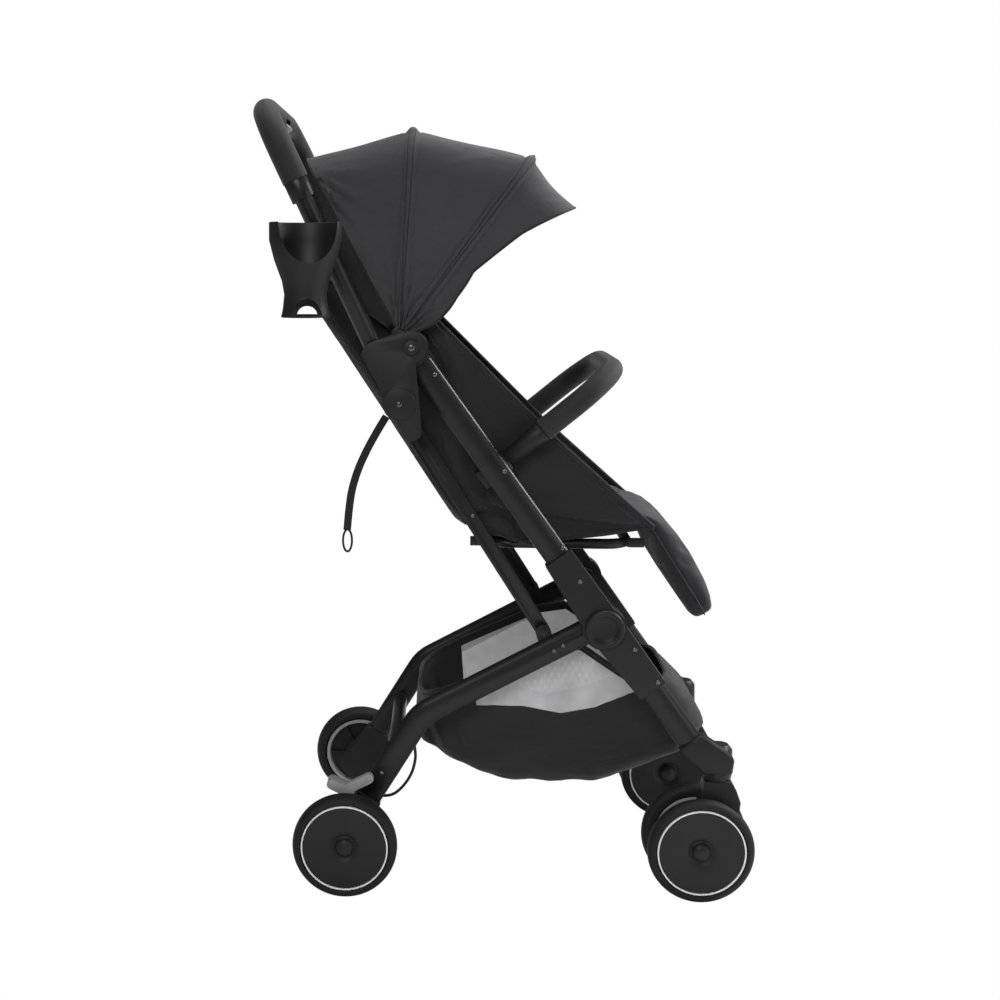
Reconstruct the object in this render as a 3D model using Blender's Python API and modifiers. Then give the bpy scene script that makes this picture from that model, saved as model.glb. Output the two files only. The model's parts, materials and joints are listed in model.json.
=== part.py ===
# Travel stroller: folding frame, swivel casters, seat, canopy, basket and their joints.
# Metres. X points forward, Y to the stroller's left, Z up.

from math import atan2, cos, degrees, hypot, pi, radians, sin

import bmesh
import bpy
from mathutils import Matrix, Vector

# Driving dimensions

GAP = 0.0003
CENTRE_X = 0.2045
CENTRE_Y = -0.0322

WHEEL_R = 0.069
REAR_WHEEL_Y = 0.210
REAR_WHEEL_WIDE = 0.032
FRONT_WHEEL_WIDE = 0.026
FRONT_WHEEL_APART = 0.069
FRONT_AXLE_X = 0.4637
CASTER_X = 0.487
CASTER_Y = 0.165

TUBE_Y = 0.174
TUBE_DEEP = 0.033
TUBE_WIDE = 0.018
TUBE_ANGLE = radians(-54)
HUB = (0.334, 0.359)
SLEEVE_INNER = 0.1606
TUBE_MID = (0.3385, 0.360)
TUBE_TOP_RUN = 0.417
TUBE_FOOT_RUN = 0.185

LEG_Y = 0.152
LEG_DEEP = 0.034
LEG_WIDE = 0.016
LEG_BEND = (0.098, 0.231)
LEG_BEND_R = 0.055
LEG_FOOT = (0.030, 0.119)
PIN_OUT = 0.0175

STRUT_Y = 0.138
STRUT_WIDE = 0.007
STRUT_LOW = (0.2577, 0.3455)
STRUT_TOP = (0.0843, 0.6143)

HINGE = (0.0825, 0.7203)
LATCH = (0.0677, 0.6488)
HANDLE_TOP = (-0.107, 1.0183)
HANDLE_Y = 0.180
HANDLE_R = 0.0125
GRIP_R = 0.017
HANDLE_CORNER_R = 0.062

CANOPY = (0.067, 0.7343)
CANOPY_Y = 0.1545
REAR_BOW_Y = 0.1476
FRONT_BOW_Y = 0.1426
REAR_BOW_ANGLE = radians(87)
FRONT_BOW_ANGLE = radians(53.3)
REAR_BOW_R = 0.2550
FRONT_BOW_R = 0.2740
FABRIC_OVER_BOW = 0.0056
BOW_WIRE_R = 0.0021

SEAT_HINGE = (0.168, 0.4600)
SEAT_BACK_ANGLE = radians(123.7)
SEAT_BACK_LONG = 0.478
SEAT_HALF = 0.1245
SIDE_Y = 0.1276
SEAT_RAIL_Y = 0.117
SEAT_RAIL_Z = 0.4585
SEAT_RAIL_R = 0.007
LEG_REST_HINGE = (0.3895, 0.4585)
LEG_REST_ANGLE = radians(-60)

BUMPER_Y = 0.146
BUMPER_START = (0.1820, 0.5530)
BUMPER_ANGLE = radians(39.5)
BUMPER_R = 0.009
BUMPER_FOAM_R = 0.015
BUMPER_LONG = 0.211

CUP_X = -0.047
CUP_Y = -0.2462
CUP_TOP_Z = 0.876
CUP_R = 0.0445

TAU = 2 * pi

# Scene, collections and joint empties

for old in list(bpy.data.objects):
    bpy.data.objects.remove(old, do_unlink=True)

parts = bpy.data.collections.new("travel_stroller")
cutters = bpy.data.collections.new("cutters")
for group in (parts, cutters):
    bpy.context.scene.collection.children.link(group)

hangers = {}
hanger_at = {}


def hanger(name, at, parent=None):
    """An empty on a joint's axis, at a point given in the stroller's own frame."""
    empty = bpy.data.objects.new("at_" + name, None)
    parts.objects.link(empty)
    at = Vector(at)
    if parent:
        empty.parent = hangers[parent]
        empty.location = at - hanger_at[parent]
    else:
        empty.location = at - Vector((CENTRE_X, CENTRE_Y, 0))
    hangers[name] = empty
    hanger_at[name] = at


def material(name, colour, rough, metal=0.0):
    """A plain surface of one colour."""
    made = bpy.data.materials.new(name)
    made.use_nodes = True
    shader = made.node_tree.nodes["Principled BSDF"]
    shader.inputs["Base Color"].default_value = (*colour, 1)
    shader.inputs["Roughness"].default_value = rough
    shader.inputs["Metallic"].default_value = metal
    return made


TUBE_PAINT = material("tube_paint", (0.018, 0.018, 0.019), 0.42, 0.3)
PLASTIC = material("plastic", (0.022, 0.022, 0.023), 0.5)
FOAM = material("foam", (0.012, 0.012, 0.012), 0.85)
CLOTH = material("cloth", (0.035, 0.035, 0.038), 0.95)
TYRE = material("tyre", (0.015, 0.015, 0.016), 0.8)
GREY = material("grey_plastic", (0.32, 0.32, 0.32), 0.5)
STEEL = material("steel", (0.5, 0.5, 0.5), 0.3, 1.0)
WEB = material("webbing", (0.02, 0.02, 0.021), 0.9)
CABLE = material("cable", (0.01, 0.01, 0.01), 0.6)


def keep(name, mesh, body, paint):
    """Names a mesh as a finished piece that moves with a body."""
    made = bpy.data.objects.new(name, mesh)
    made.data.materials.clear()
    made.data.materials.append(paint)
    parts.objects.link(made)
    made.parent = hangers[body]
    made.location = -hanger_at[body]
    return made


def tool(mesh, body):
    """A cutter, hidden, in the frame of the piece that it cuts."""
    made = bpy.data.objects.new("cutter", mesh)
    cutters.objects.link(made)
    made.parent = hangers[body]
    made.location = -hanger_at[body]
    made.hide_render = True
    made.display_type = "WIRE"
    return made


def change(piece, mesh, body, how):
    """Cuts a mesh out of a piece, or joins it on."""
    step = piece.modifiers.new(how.lower(), "BOOLEAN")
    step.operation = how
    step.solver = "EXACT"
    step.object = tool(mesh, body)


def cut(piece, mesh, body):
    change(piece, mesh, body, "DIFFERENCE")


def join(piece, mesh, body):
    change(piece, mesh, body, "UNION")


def bevel(piece, width, segments=2):
    """Rounds the sharp edges of a piece."""
    step = piece.modifiers.new("bevel", "BEVEL")
    step.width = width
    step.segments = segments
    step.limit_method = "ANGLE"
    step.angle_limit = radians(40)


def from_bmesh(work):
    """A mesh data block from a bmesh, shaded smooth with sharp edges kept."""
    bmesh.ops.recalc_face_normals(work, faces=work.faces)
    mesh = bpy.data.meshes.new("shape")
    work.to_mesh(mesh)
    work.free()
    mesh.shade_smooth()
    mesh.set_sharp_from_angle(angle=radians(35))
    return mesh


def curve_mesh(curve, turn=None):
    """Turns a curve into a mesh with its caps welded on."""
    temporary = bpy.data.objects.new("curve", curve)
    bpy.context.scene.collection.objects.link(temporary)
    bpy.context.view_layer.update()
    seen = temporary.evaluated_get(bpy.context.evaluated_depsgraph_get())
    mesh = bpy.data.meshes.new_from_object(seen)
    bpy.data.objects.remove(temporary, do_unlink=True)
    work = bmesh.new()
    work.from_mesh(mesh)
    bmesh.ops.remove_doubles(work, verts=work.verts, dist=0.00002)
    if turn is not None:
        bmesh.ops.transform(work, matrix=turn, verts=work.verts)
    return from_bmesh(work)


def tube(points, radius, resolution=4, cyclic=False, flat=None, y=0.0):
    """A round tube along points. With flat, its width in Y is that share, and y moves it."""
    curve = bpy.data.curves.new("route", "CURVE")
    curve.dimensions = "3D"
    curve.bevel_depth = radius
    curve.bevel_resolution = resolution
    curve.use_fill_caps = True
    line = curve.splines.new("POLY")
    line.points.add(len(points) - 1)
    for slot, point in zip(line.points, points):
        slot.co = (*point, 1)
    line.use_cyclic_u = cyclic
    turn = None
    if flat:
        turn = Matrix.Translation((0, y, 0)) @ Matrix.Diagonal((1, flat, 1, 1))
    return curve_mesh(curve, turn)


def plate(outline, y, wide):
    """A flat plate: an outline of (x, z) points, centred at y and wide in Y."""
    curve = bpy.data.curves.new("outline", "CURVE")
    curve.dimensions = "2D"
    curve.fill_mode = "BOTH"
    curve.extrude = wide / 2
    line = curve.splines.new("POLY")
    line.points.add(len(outline) - 1)
    for slot, (x, z) in zip(line.points, outline):
        slot.co = (x, z, 0, 1)
    line.use_cyclic_u = True
    turn = Matrix.Translation((0, y, 0)) @ Matrix.Rotation(pi / 2, 4, "X")
    return curve_mesh(curve, turn)


def drum(x, z, radius, y0, y1, sides=24):
    """A cylinder along Y, from y0 to y1."""
    work = bmesh.new()
    bmesh.ops.create_cone(
        work, cap_ends=True, segments=sides, radius1=radius, radius2=radius, depth=abs(y1 - y0)
    )
    turn = Matrix.Translation((x, (y0 + y1) / 2, z)) @ Matrix.Rotation(
        -pi / 2 if y1 > y0 else pi / 2, 4, "X"
    )
    bmesh.ops.transform(work, matrix=turn, verts=work.verts)
    return from_bmesh(work)


def rod(start, end, radius, sides=16):
    """A straight round rod between two points."""
    start = Vector(start)
    end = Vector(end)
    work = bmesh.new()
    bmesh.ops.create_cone(
        work,
        cap_ends=True,
        segments=sides,
        radius1=radius,
        radius2=radius,
        depth=(end - start).length,
    )
    turn = Matrix.Translation((start + end) / 2) @ (end - start).to_track_quat(
        "Z", "Y"
    ).to_matrix().to_4x4()
    bmesh.ops.transform(work, matrix=turn, verts=work.verts)
    return from_bmesh(work)


def rod_pair(a, b, y, radius, sides=20):
    """A rod between two (x, z) points at one y."""
    return rod((a[0], y, a[1]), (b[0], y, b[1]), radius, sides)


def rod_up(x, y, z0, z1, radius, sides=20):
    """An upright rod."""
    return rod((x, y, z0), (x, y, z1), radius, sides)


def block(centre, size, turn_y=0.0, round_by=0.0, segments=2):
    """A box of a given size, turned about Y and with rounded edges."""
    work = bmesh.new()
    bmesh.ops.create_cube(work, size=1)
    bmesh.ops.scale(work, vec=size, verts=work.verts)
    if round_by:
        bmesh.ops.bevel(
            work,
            geom=work.edges[:],
            offset=round_by,
            segments=segments,
            profile=0.5,
            affect="EDGES",
            material=-1,
        )
    turn = Matrix.Translation(centre) @ Matrix.Rotation(turn_y, 4, "Y")
    bmesh.ops.transform(work, matrix=turn, verts=work.verts)
    return from_bmesh(work)


def turned(profile, at, side=1, steps=48, axis="Y"):
    """A turned shape: (radius, along) points down its outer side, about Y or Z."""
    work = bmesh.new()
    rows = [work.verts.new((r, 0, a)) for r, a in profile]
    for a, b in zip(rows, rows[1:]):
        if a.co.x or b.co.x:
            work.edges.new((a, b))
    mesh = bpy.data.meshes.new("profile")
    work.to_mesh(mesh)
    work.free()
    temporary = bpy.data.objects.new("turned", mesh)
    bpy.context.scene.collection.objects.link(temporary)
    step = temporary.modifiers.new("turn", "SCREW")
    step.axis = "Z"
    step.steps = steps
    step.render_steps = steps
    step.use_merge_vertices = True
    step.merge_threshold = 0.00001
    bpy.context.view_layer.update()
    seen = temporary.evaluated_get(bpy.context.evaluated_depsgraph_get())
    made = bpy.data.meshes.new_from_object(seen)
    bpy.data.objects.remove(temporary, do_unlink=True)
    work = bmesh.new()
    work.from_mesh(made)
    bmesh.ops.remove_doubles(work, verts=work.verts, dist=0.00001)
    turn = Matrix.Translation(at)
    if axis == "Y":
        turn = turn @ Matrix.Rotation(-pi / 2 * side, 4, "X")
    bmesh.ops.transform(work, matrix=turn, verts=work.verts)
    return from_bmesh(work)


def arc(centre, radius, start, end, steps):
    """Points on an arc, in degrees."""
    turns = [radians(start + (end - start) * i / steps) for i in range(steps + 1)]
    return [(centre[0] + radius * cos(a), centre[1] + radius * sin(a)) for a in turns]


def on_line(start, angle, run, aside=0.0):
    """The point at a run along a line, and aside to the line's left."""
    return (
        start[0] + run * cos(angle) - aside * sin(angle),
        start[1] + run * sin(angle) + aside * cos(angle),
    )


def rounded(points, radius, steps=5, closed=False):
    """A route through 3D points whose corners are arcs."""
    points = [Vector(p) for p in points]
    count = len(points)
    route = []
    for i, corner in enumerate(points):
        if not closed and i in (0, count - 1):
            route.append(corner)
            continue
        before = (points[i - 1] - corner).normalized()
        after = (points[(i + 1) % count] - corner).normalized()
        half = before.angle(after) / 2
        back = radius / (sin(half) / cos(half))
        middle = corner + (before + after).normalized() * (radius / sin(half))
        first = corner + before * back - middle
        last = corner + after * back - middle
        sweep = first.angle(last)
        for k in range(steps + 1):
            share = k / steps
            route.append(
                middle
                + (first * sin((1 - share) * sweep) + last * sin(share * sweep)) / sin(sweep)
            )
    return route


def capsule(a, b, radius, steps=8, radius_b=None):
    """An outline round two points, with round ends."""
    last = radius if radius_b is None else radius_b
    heading = degrees(atan2(b[1] - a[1], b[0] - a[0]))
    lean = degrees(atan2(radius - last, hypot(b[0] - a[0], b[1] - a[1])))
    return arc(a, radius, heading + 90 - lean, heading + 270 + lean, steps) + arc(
        b, last, heading - 90 + lean, heading + 90 - lean, steps
    )


# Joint empties, one for each moving body

SIDES = {"right": -1, "left": 1}

hanger("front_frame", (0, 0, 0))
hanger("handle", (HINGE[0], 0, HINGE[1]), "front_frame")
hanger("fold_button", (HANDLE_TOP[0], 0, HANDLE_TOP[1]), "handle")
hanger("rear_legs", (HUB[0], 0, HUB[1]), "front_frame")
hanger("brake_pedal", (0.030, 0, 0.150), "rear_legs")
hanger("canopy_front_bow", (CANOPY[0], 0, CANOPY[1]), "front_frame")
hanger("canopy_rear_bow", (CANOPY[0], 0, CANOPY[1]), "front_frame")
hanger("seat_back", (SEAT_HINGE[0], 0, SEAT_HINGE[1]), "front_frame")
hanger("leg_rest", (LEG_REST_HINGE[0], 0, LEG_REST_HINGE[1]), "front_frame")
hanger("bumper_bar", (BUMPER_START[0], 0, BUMPER_START[1]), "front_frame")
hanger("buckle_button", (0.262, 0, 0.560), "front_frame")
for word, s in SIDES.items():
    hanger("strut_" + word, (STRUT_LOW[0], s * STRUT_Y, STRUT_LOW[1]), "rear_legs")
    hanger("brake_pin_" + word, (0.0, s * 0.170, 0.069), "rear_legs")
    hanger("rear_wheel_" + word, (0, s * REAR_WHEEL_Y, WHEEL_R), "rear_legs")
    hanger("caster_" + word, (CASTER_X, s * CASTER_Y, 0.150), "front_frame")
    hanger("bumper_button_" + word, (BUMPER_START[0], s * 0.134, BUMPER_START[1]), "front_frame")
    for place, t in (("outer", 1), ("inner", -1)):
        y = s * (CASTER_Y + t * FRONT_WHEEL_APART / 2)
        hanger(f"front_wheel_{word}_{place}", (FRONT_AXLE_X, y, WHEEL_R), "caster_" + word)


# Front frame

TUBE_TOP = on_line(TUBE_MID, TUBE_ANGLE, -TUBE_TOP_RUN)
TUBE_FOOT = on_line(TUBE_MID, TUBE_ANGLE, TUBE_FOOT_RUN)


def oval_tube(points, deep, wide, y, extra=0.0, resolution=4):
    """An oval tube in a plane of constant y, deep across and wide in Y."""
    route = [(x, 0, z) for x, z in points]
    share = (wide / 2 + extra) / (deep / 2 + extra)
    return tube(route, deep / 2 + extra, resolution, flat=share, y=y)


def front_tube(word, s):
    keep(
        "front_tube_" + word,
        oval_tube([TUBE_TOP, TUBE_FOOT], TUBE_DEEP, TUBE_WIDE, s * TUBE_Y, resolution=6),
        "front_frame",
        TUBE_PAINT,
    )


def hub_sleeve(word, s):
    """The moulded sleeve round the tube, with the inner stub that the rear leg turns on."""
    upper = on_line(TUBE_MID, TUBE_ANGLE, -0.112)
    lower = on_line(TUBE_MID, TUBE_ANGLE, 0.102)
    heading = degrees(TUBE_ANGLE)
    outline = (
        [on_line(upper, TUBE_ANGLE, 0, 0.0195), on_line(upper, TUBE_ANGLE, 0, -0.0195)]
        + arc(HUB, 0.0285, heading - 130, heading - 50, 8)
        + [on_line(lower, TUBE_ANGLE, 0, -0.0195), on_line(lower, TUBE_ANGLE, 0, 0.0195)]
        + arc(HUB, 0.0285, heading + 60, heading + 120, 6)
    )
    inner = SLEEVE_INNER
    outer = 0.1870
    piece = keep(
        "hub_sleeve_" + word,
        plate(outline, s * (inner + outer) / 2, outer - inner),
        "front_frame",
        PLASTIC,
    )
    bevel(piece, 0.003, 1)
    ends = [on_line(TUBE_MID, TUBE_ANGLE, -0.13), on_line(TUBE_MID, TUBE_ANGLE, 0.12)]
    bore = oval_tube(ends, TUBE_DEEP, TUBE_WIDE, s * TUBE_Y, GAP, 6)
    cut(piece, bore, "front_frame")
    join(piece, drum(*HUB, 0.0055, s * 0.1415, s * 0.1616, 16), "front_frame")
    join(piece, drum(*HUB, 0.0105, s * 0.1405, s * 0.1434, 16), "front_frame")


def hub_cap(word, s):
    """The dished round cap on the hub, with its raised rim."""
    rim = 0.0255
    profile = [
        (0.0, 0.0030),
        (0.0140, 0.0035),
        (0.0195, 0.0074),
        (0.0225, 0.0078),
        (rim, 0.0052),
        (rim, 0.0),
        (0.0, 0.0),
    ]
    piece = turned(profile, (HUB[0], s * (0.1870 + GAP), HUB[1]), s, 24)
    keep("hub_cap_" + word, piece, "front_frame", PLASTIC)


def top_fitting(word, s):
    """The eye at the tube's top, its pivot stub, and the inner plate that carries the canopy."""
    start = on_line(TUBE_TOP, TUBE_ANGLE, -GAP)
    outline = arc(HINGE, 0.0185, -10, 190, 12) + [
        on_line(start, TUBE_ANGLE, 0, -0.0155),
        on_line(start, TUBE_ANGLE, 0, 0.0155),
    ]
    piece = keep(
        "top_fitting_" + word, plate(outline, s * TUBE_Y, 0.0172), "front_frame", PLASTIC
    )
    join(piece, drum(*HINGE, 0.0070, s * 0.1530, s * 0.1978, 16), "front_frame")
    join(piece, drum(*HINGE, 0.0095, s * 0.1970, s * 0.1995, 16), "front_frame")
    join(piece, plate(capsule(HINGE, CANOPY, 0.0115), s * 0.1546, 0.0052), "front_frame")
    join(piece, drum(*CANOPY, 0.0035, s * 0.1385, s * 0.1530, 12), "front_frame")
    join(piece, drum(*CANOPY, 0.0060, s * 0.1365, s * 0.1392, 12), "front_frame")


def caster_socket(word, s):
    """The moulded foot that joins the tube's end to the upright caster bearing."""
    y = s * TUBE_Y
    foot = on_line(TUBE_FOOT, TUBE_ANGLE, GAP)
    outline = [
        on_line(foot, TUBE_ANGLE, 0, 0.0175),
        on_line(foot, TUBE_ANGLE, 0, -0.0175),
        (0.4665, 0.1660),
        (0.5035, 0.1660),
        (0.5060, 0.1880),
        (0.4960, 0.1980),
    ]
    piece = keep("caster_socket_" + word, plate(outline, y, 0.024), "front_frame", PLASTIC)
    bevel(piece, 0.003, 1)
    barrel = turned(
        [(0.0, 0.047), (0.013, 0.047), (0.0185, 0.040), (0.0195, 0.010), (0.0175, 0.0), (0.0, 0.0)],
        (CASTER_X, s * CASTER_Y, 0.1562),
        1,
        24,
        "Z",
    )
    join(piece, barrel, "front_frame")
    cut(piece, rod_up(CASTER_X, s * CASTER_Y, 0.150, 0.190, 0.0063), "front_frame")


def front_cross_tube():
    """The bar between the two feet, behind the front hem of the basket."""
    y = CASTER_Y - 0.0195 - GAP
    route = [(CASTER_X, -y, 0.1735), (CASTER_X, y, 0.1735)]
    keep("front_cross_tube", tube(route, 0.0075, 4), "front_frame", TUBE_PAINT)


def seat_frame():
    """The closed rail under the seat, and the cross tube that it lies on."""
    rear = SEAT_HINGE[0] + 0.018
    front = LEG_REST_HINGE[0] - 0.020
    corners = [
        (rear, -SEAT_RAIL_Y, SEAT_RAIL_Z),
        (front, -SEAT_RAIL_Y, SEAT_RAIL_Z),
        (front, SEAT_RAIL_Y, SEAT_RAIL_Z),
        (rear, SEAT_RAIL_Y, SEAT_RAIL_Z),
    ]
    route = rounded(corners, 0.030, 5, closed=True)
    rail = keep(
        "seat_frame_rail", tube(route, SEAT_RAIL_R, 2, cyclic=True), "front_frame", TUBE_PAINT
    )
    for s in SIDES.values():
        ear = block((rear - 0.010, s * 0.105, SEAT_RAIL_Z), (0.030, 0.006, 0.012))
        join(rail, ear, "front_frame")
        front_ear = block((front + 0.0105, s * 0.105, SEAT_RAIL_Z), (0.022, 0.006, 0.012))
        join(rail, front_ear, "front_frame")
    low = SEAT_RAIL_Z - SEAT_RAIL_R - 0.008 - GAP
    x = TUBE_MID[0] + (low - TUBE_MID[1]) * cos(TUBE_ANGLE) / sin(TUBE_ANGLE)
    reach = SLEEVE_INNER - GAP
    keep(
        "seat_cross_tube",
        tube([(x, -reach, low), (x, reach, low)], 0.008, 4),
        "front_frame",
        TUBE_PAINT,
    )


def bumper_socket(word, s):
    """The bracket on the tube's inner face that the bumper bar's arm slides into."""
    centre = on_line(BUMPER_START, BUMPER_ANGLE, 0.010)
    inner = 0.1340
    outer = TUBE_Y - TUBE_WIDE / 2 - GAP
    middle = (centre[0], s * (inner + outer) / 2, centre[1])
    shell = block(middle, (0.044, outer - inner, 0.027), -BUMPER_ANGLE, 0.003)
    piece = keep("bumper_socket_" + word, shell, "front_frame", PLASTIC)
    a = on_line(BUMPER_START, BUMPER_ANGLE, -0.008)
    b = on_line(BUMPER_START, BUMPER_ANGLE, 0.050)
    cut(piece, rod_pair(a, b, s * BUMPER_Y, BUMPER_R + GAP, 16), "front_frame")
    body = "bumper_button_" + word
    face = inner - 0.0016
    root = inner + 0.0006
    press = keep(body, drum(*centre, 0.0055, s * face, s * root, 16), body, GREY)
    bevel(press, 0.0006, 1)
    well = drum(*centre, 0.0059, s * (inner - 0.01), s * (inner + 0.0021), 16)
    cut(piece, well, "front_frame")


# Handle


HANDLE_ANGLE = atan2(HANDLE_TOP[1] - LATCH[1], HANDLE_TOP[0] - LATCH[0])
BUTTON_TURN = radians(49)


def handle_tube():
    """The handle's bent tube, with the collars below the grip and the pocket of the fold button."""
    start = on_line(LATCH, HANDLE_ANGLE, 0.006)
    corners = [
        (start[0], -HANDLE_Y, start[1]),
        (HANDLE_TOP[0], -HANDLE_Y, HANDLE_TOP[1]),
        (HANDLE_TOP[0], HANDLE_Y, HANDLE_TOP[1]),
        (start[0], HANDLE_Y, start[1]),
    ]
    route = rounded(corners, HANDLE_CORNER_R, 5)
    piece = keep("handle_tube", tube(route, HANDLE_R, 3), "handle", TUBE_PAINT)
    a = on_line(LATCH, HANDLE_ANGLE, 0.284)
    b = on_line(LATCH, HANDLE_ANGLE, 0.3095)
    for s in SIDES.values():
        join(piece, rod_pair(a, b, s * HANDLE_Y, 0.0160), "handle")
    pocket = block(button_at(0.0140), (0.0120, 0.0475, 0.0162), BUTTON_TURN)
    cut(piece, pocket, "handle")
    return route


def button_at(out):
    """A point below and in front of the handle's cross bar, out from the bar's middle."""
    return (
        HANDLE_TOP[0] + out * cos(BUTTON_TURN),
        0,
        HANDLE_TOP[1] - out * sin(BUTTON_TURN),
    )


def handle_grip(route):
    """The foam sleeve over the handle's upper bend, open where the fold button stands."""
    sleeve = []
    for run in (0.310, 0.305):
        low = on_line(LATCH, HANDLE_ANGLE, run)
        ends = [Vector((low[0], s * HANDLE_Y, low[1])) for s in SIDES.values()]
        sleeve.append([ends[0]] + route[1:-1] + [ends[1]])
    piece = keep("handle_grip", tube(sleeve[0], GRIP_R, 4), "handle", FOAM)
    cut(piece, tube(sleeve[1], HANDLE_R + GAP, 3), "handle")
    well = block(button_at(0.0157), (0.030, 0.052, 0.026), radians(25))
    cut(piece, well, "handle")
    button = block(button_at(0.0185), (0.0085, 0.046, 0.0150), BUTTON_TURN, 0.002)
    keep("fold_button", button, "fold_button", GREY)


def hinge_housing(word, s):
    """The moulding on the handle's foot: hinge lobe, round latch cap, and the lug for the strut."""
    lobe = on_line(LATCH, HANDLE_ANGLE, 0.066)
    inner = 0.1586
    outer = 0.1966
    outline = (
        arc(LATCH, 0.0215, 155, 262, 5)
        + arc(STRUT_TOP, 0.0125, 225, 345, 5)
        + arc(HINGE, 0.0205, -75, 105, 8)
        + arc(lobe, 0.0205, 100, 175, 4)
    )
    shell = plate(outline, s * (inner + outer) / 2, outer - inner)
    piece = keep("hinge_housing_" + word, shell, "handle", PLASTIC)
    mouth = on_line(lobe, HANDLE_ANGLE, 0.0, -0.066)
    slot_at = (mouth[0], s * TUBE_Y, mouth[1] - 0.020)
    slot = block(slot_at, (0.098, TUBE_WIDE + 0.0008, 0.150), pi / 2 - HANDLE_ANGLE)
    cut(piece, slot, "handle")
    a = on_line(LATCH, HANDLE_ANGLE, 0.006 - GAP)
    b = on_line(LATCH, HANDLE_ANGLE, 0.130)
    cut(piece, rod_pair(a, b, s * HANDLE_Y, HANDLE_R + GAP), "handle")
    cut(piece, drum(*HINGE, 0.0070 + GAP, s * 0.150, s * 0.205, 16), "handle")
    join(piece, drum(*LATCH, 0.0205, s * 0.1950, s * 0.1996, 20), "handle")
    join(piece, drum(*STRUT_TOP, 0.0048, s * 0.1345, s * 0.1620, 14), "handle")


def cup_holder():
    """The cup holder clipped to the right arm: a tapered cup on an arched foot."""
    wall = 0.0026
    z = CUP_TOP_Z
    outer = [
        (CUP_R, 0.0),
        (CUP_R, -0.022),
        (0.0385, -0.046),
        (0.0290, -0.072),
        (0.0262, -0.088),
        (0.0278, -0.104),
        (0.0300, -0.116),
    ]
    inner_foot = [(0.0270, -0.116), (0.0248, -0.104), (0.0236, -0.0916), (0.0, -0.0916)]
    inner_cup = [
        (0.0, -0.088),
        (0.0235, -0.088),
        (0.0262, -0.072),
        (0.0357, -0.046),
        (CUP_R - wall, -0.022),
        (CUP_R - wall, 0.0),
    ]
    profile = outer + inner_foot + inner_cup + [(CUP_R, 0.0)]
    piece = keep("cup_holder", turned(profile, (CUP_X, CUP_Y, z), 1, 22, "Z"), "handle", PLASTIC)
    arch = capsule((CUP_X, z - 0.112), (CUP_X, z - 0.130), 0.013, 5)
    cut(piece, plate(arch, CUP_Y, 0.080), "handle")
    for turn in (35, 145):
        side = radians(turn)
        window = block(
            (CUP_X + 0.043 * cos(side), CUP_Y + 0.043 * sin(side), z - 0.036),
            (0.022, 0.022, 0.030),
            0,
            0.005,
            1,
        )
        cut(piece, window, "handle")
    y = -HANDLE_Y
    clip = on_line(LATCH, HANDLE_ANGLE, 0.232)
    ends = [on_line(clip, HANDLE_ANGLE, run) for run in (-0.014, 0.014, -0.03, 0.03)]
    bridge = block((clip[0] - 0.006, y - 0.0175, clip[1] - 0.004), (0.022, 0.0130, 0.018), 0, 0.002)
    join(piece, rod_pair(ends[0], ends[1], y, 0.0165), "handle")
    join(piece, bridge, "handle")
    cut(piece, rod_pair(ends[2], ends[3], y, HANDLE_R + GAP), "handle")


# Rear legs, struts and brake


def rear_leg(word, s):
    bend = LEG_BEND
    route = rounded(
        [(HUB[0], 0, HUB[1]), (bend[0], 0, bend[1]), (LEG_FOOT[0], 0, LEG_FOOT[1])], LEG_BEND_R, 6
    )
    mesh = tube(route, LEG_DEEP / 2, 4, flat=LEG_WIDE / LEG_DEEP, y=s * LEG_Y)
    piece = keep("rear_leg_" + word, mesh, "rear_legs", TUBE_PAINT)
    join(piece, drum(*HUB, 0.0165, s * (LEG_Y - 0.0078), s * (LEG_Y + 0.0078), 20), "rear_legs")
    cut(piece, drum(*HUB, 0.0055 + GAP, s * 0.13, s * 0.18, 16), "rear_legs")
    pin_end = STRUT_Y - STRUT_WIDE / 2 - 0.0004
    lug = capsule(STRUT_LOW, (0.2650, 0.3230), 0.0100, 6)
    join(piece, plate(lug, s * (LEG_Y - 0.0040), 0.0076), "rear_legs")
    join(piece, drum(*STRUT_LOW, 0.0045, s * pin_end, s * LEG_Y, 14), "rear_legs")


def rear_foot(word, s):
    """The moulded foot under the leg, with the round brake drum beside the wheel."""
    slope = atan2(LEG_FOOT[1] - WHEEL_R, LEG_FOOT[0])
    top = on_line(LEG_FOOT, slope, -GAP)
    outline = [
        on_line(top, slope, 0, -0.0175),
        on_line(top, slope, 0, 0.0175),
    ] + arc((0, WHEEL_R), 0.0265, 165, 330, 12)
    inner = 0.1445
    piece = keep(
        "rear_foot_" + word, plate(outline, s * (inner + 0.1645) / 2, 0.020), "rear_legs", PLASTIC
    )
    bevel(piece, 0.002, 1)
    drum_out = drum(0, WHEEL_R, 0.0250, s * 0.160, s * 0.1885, 28)
    join(piece, drum_out, "rear_legs")
    join(piece, drum(0, WHEEL_R, 0.0040, s * 0.180, s * 0.2170, 14), "rear_legs")
    cut(piece, drum(0.0, WHEEL_R + PIN_OUT, 0.0033, s * 0.1550, s * 0.20, 12), "rear_legs")


def rear_cross_tube():
    reach = LEG_Y - LEG_WIDE / 2 - GAP
    at = (0.0630, 0.1720)
    keep(
        "rear_cross_tube",
        tube([(at[0], -reach, at[1]), (at[0], reach, at[1])], 0.0100, 4),
        "rear_legs",
        TUBE_PAINT,
    )


def brake(word, s):
    """The pin that the brake pushes sideways into the wheel."""
    body = "brake_pin_" + word
    keep(body, drum(0.0, WHEEL_R + PIN_OUT, 0.0030, s * 0.1560, s * 0.1880, 12), body, STEEL)


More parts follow.
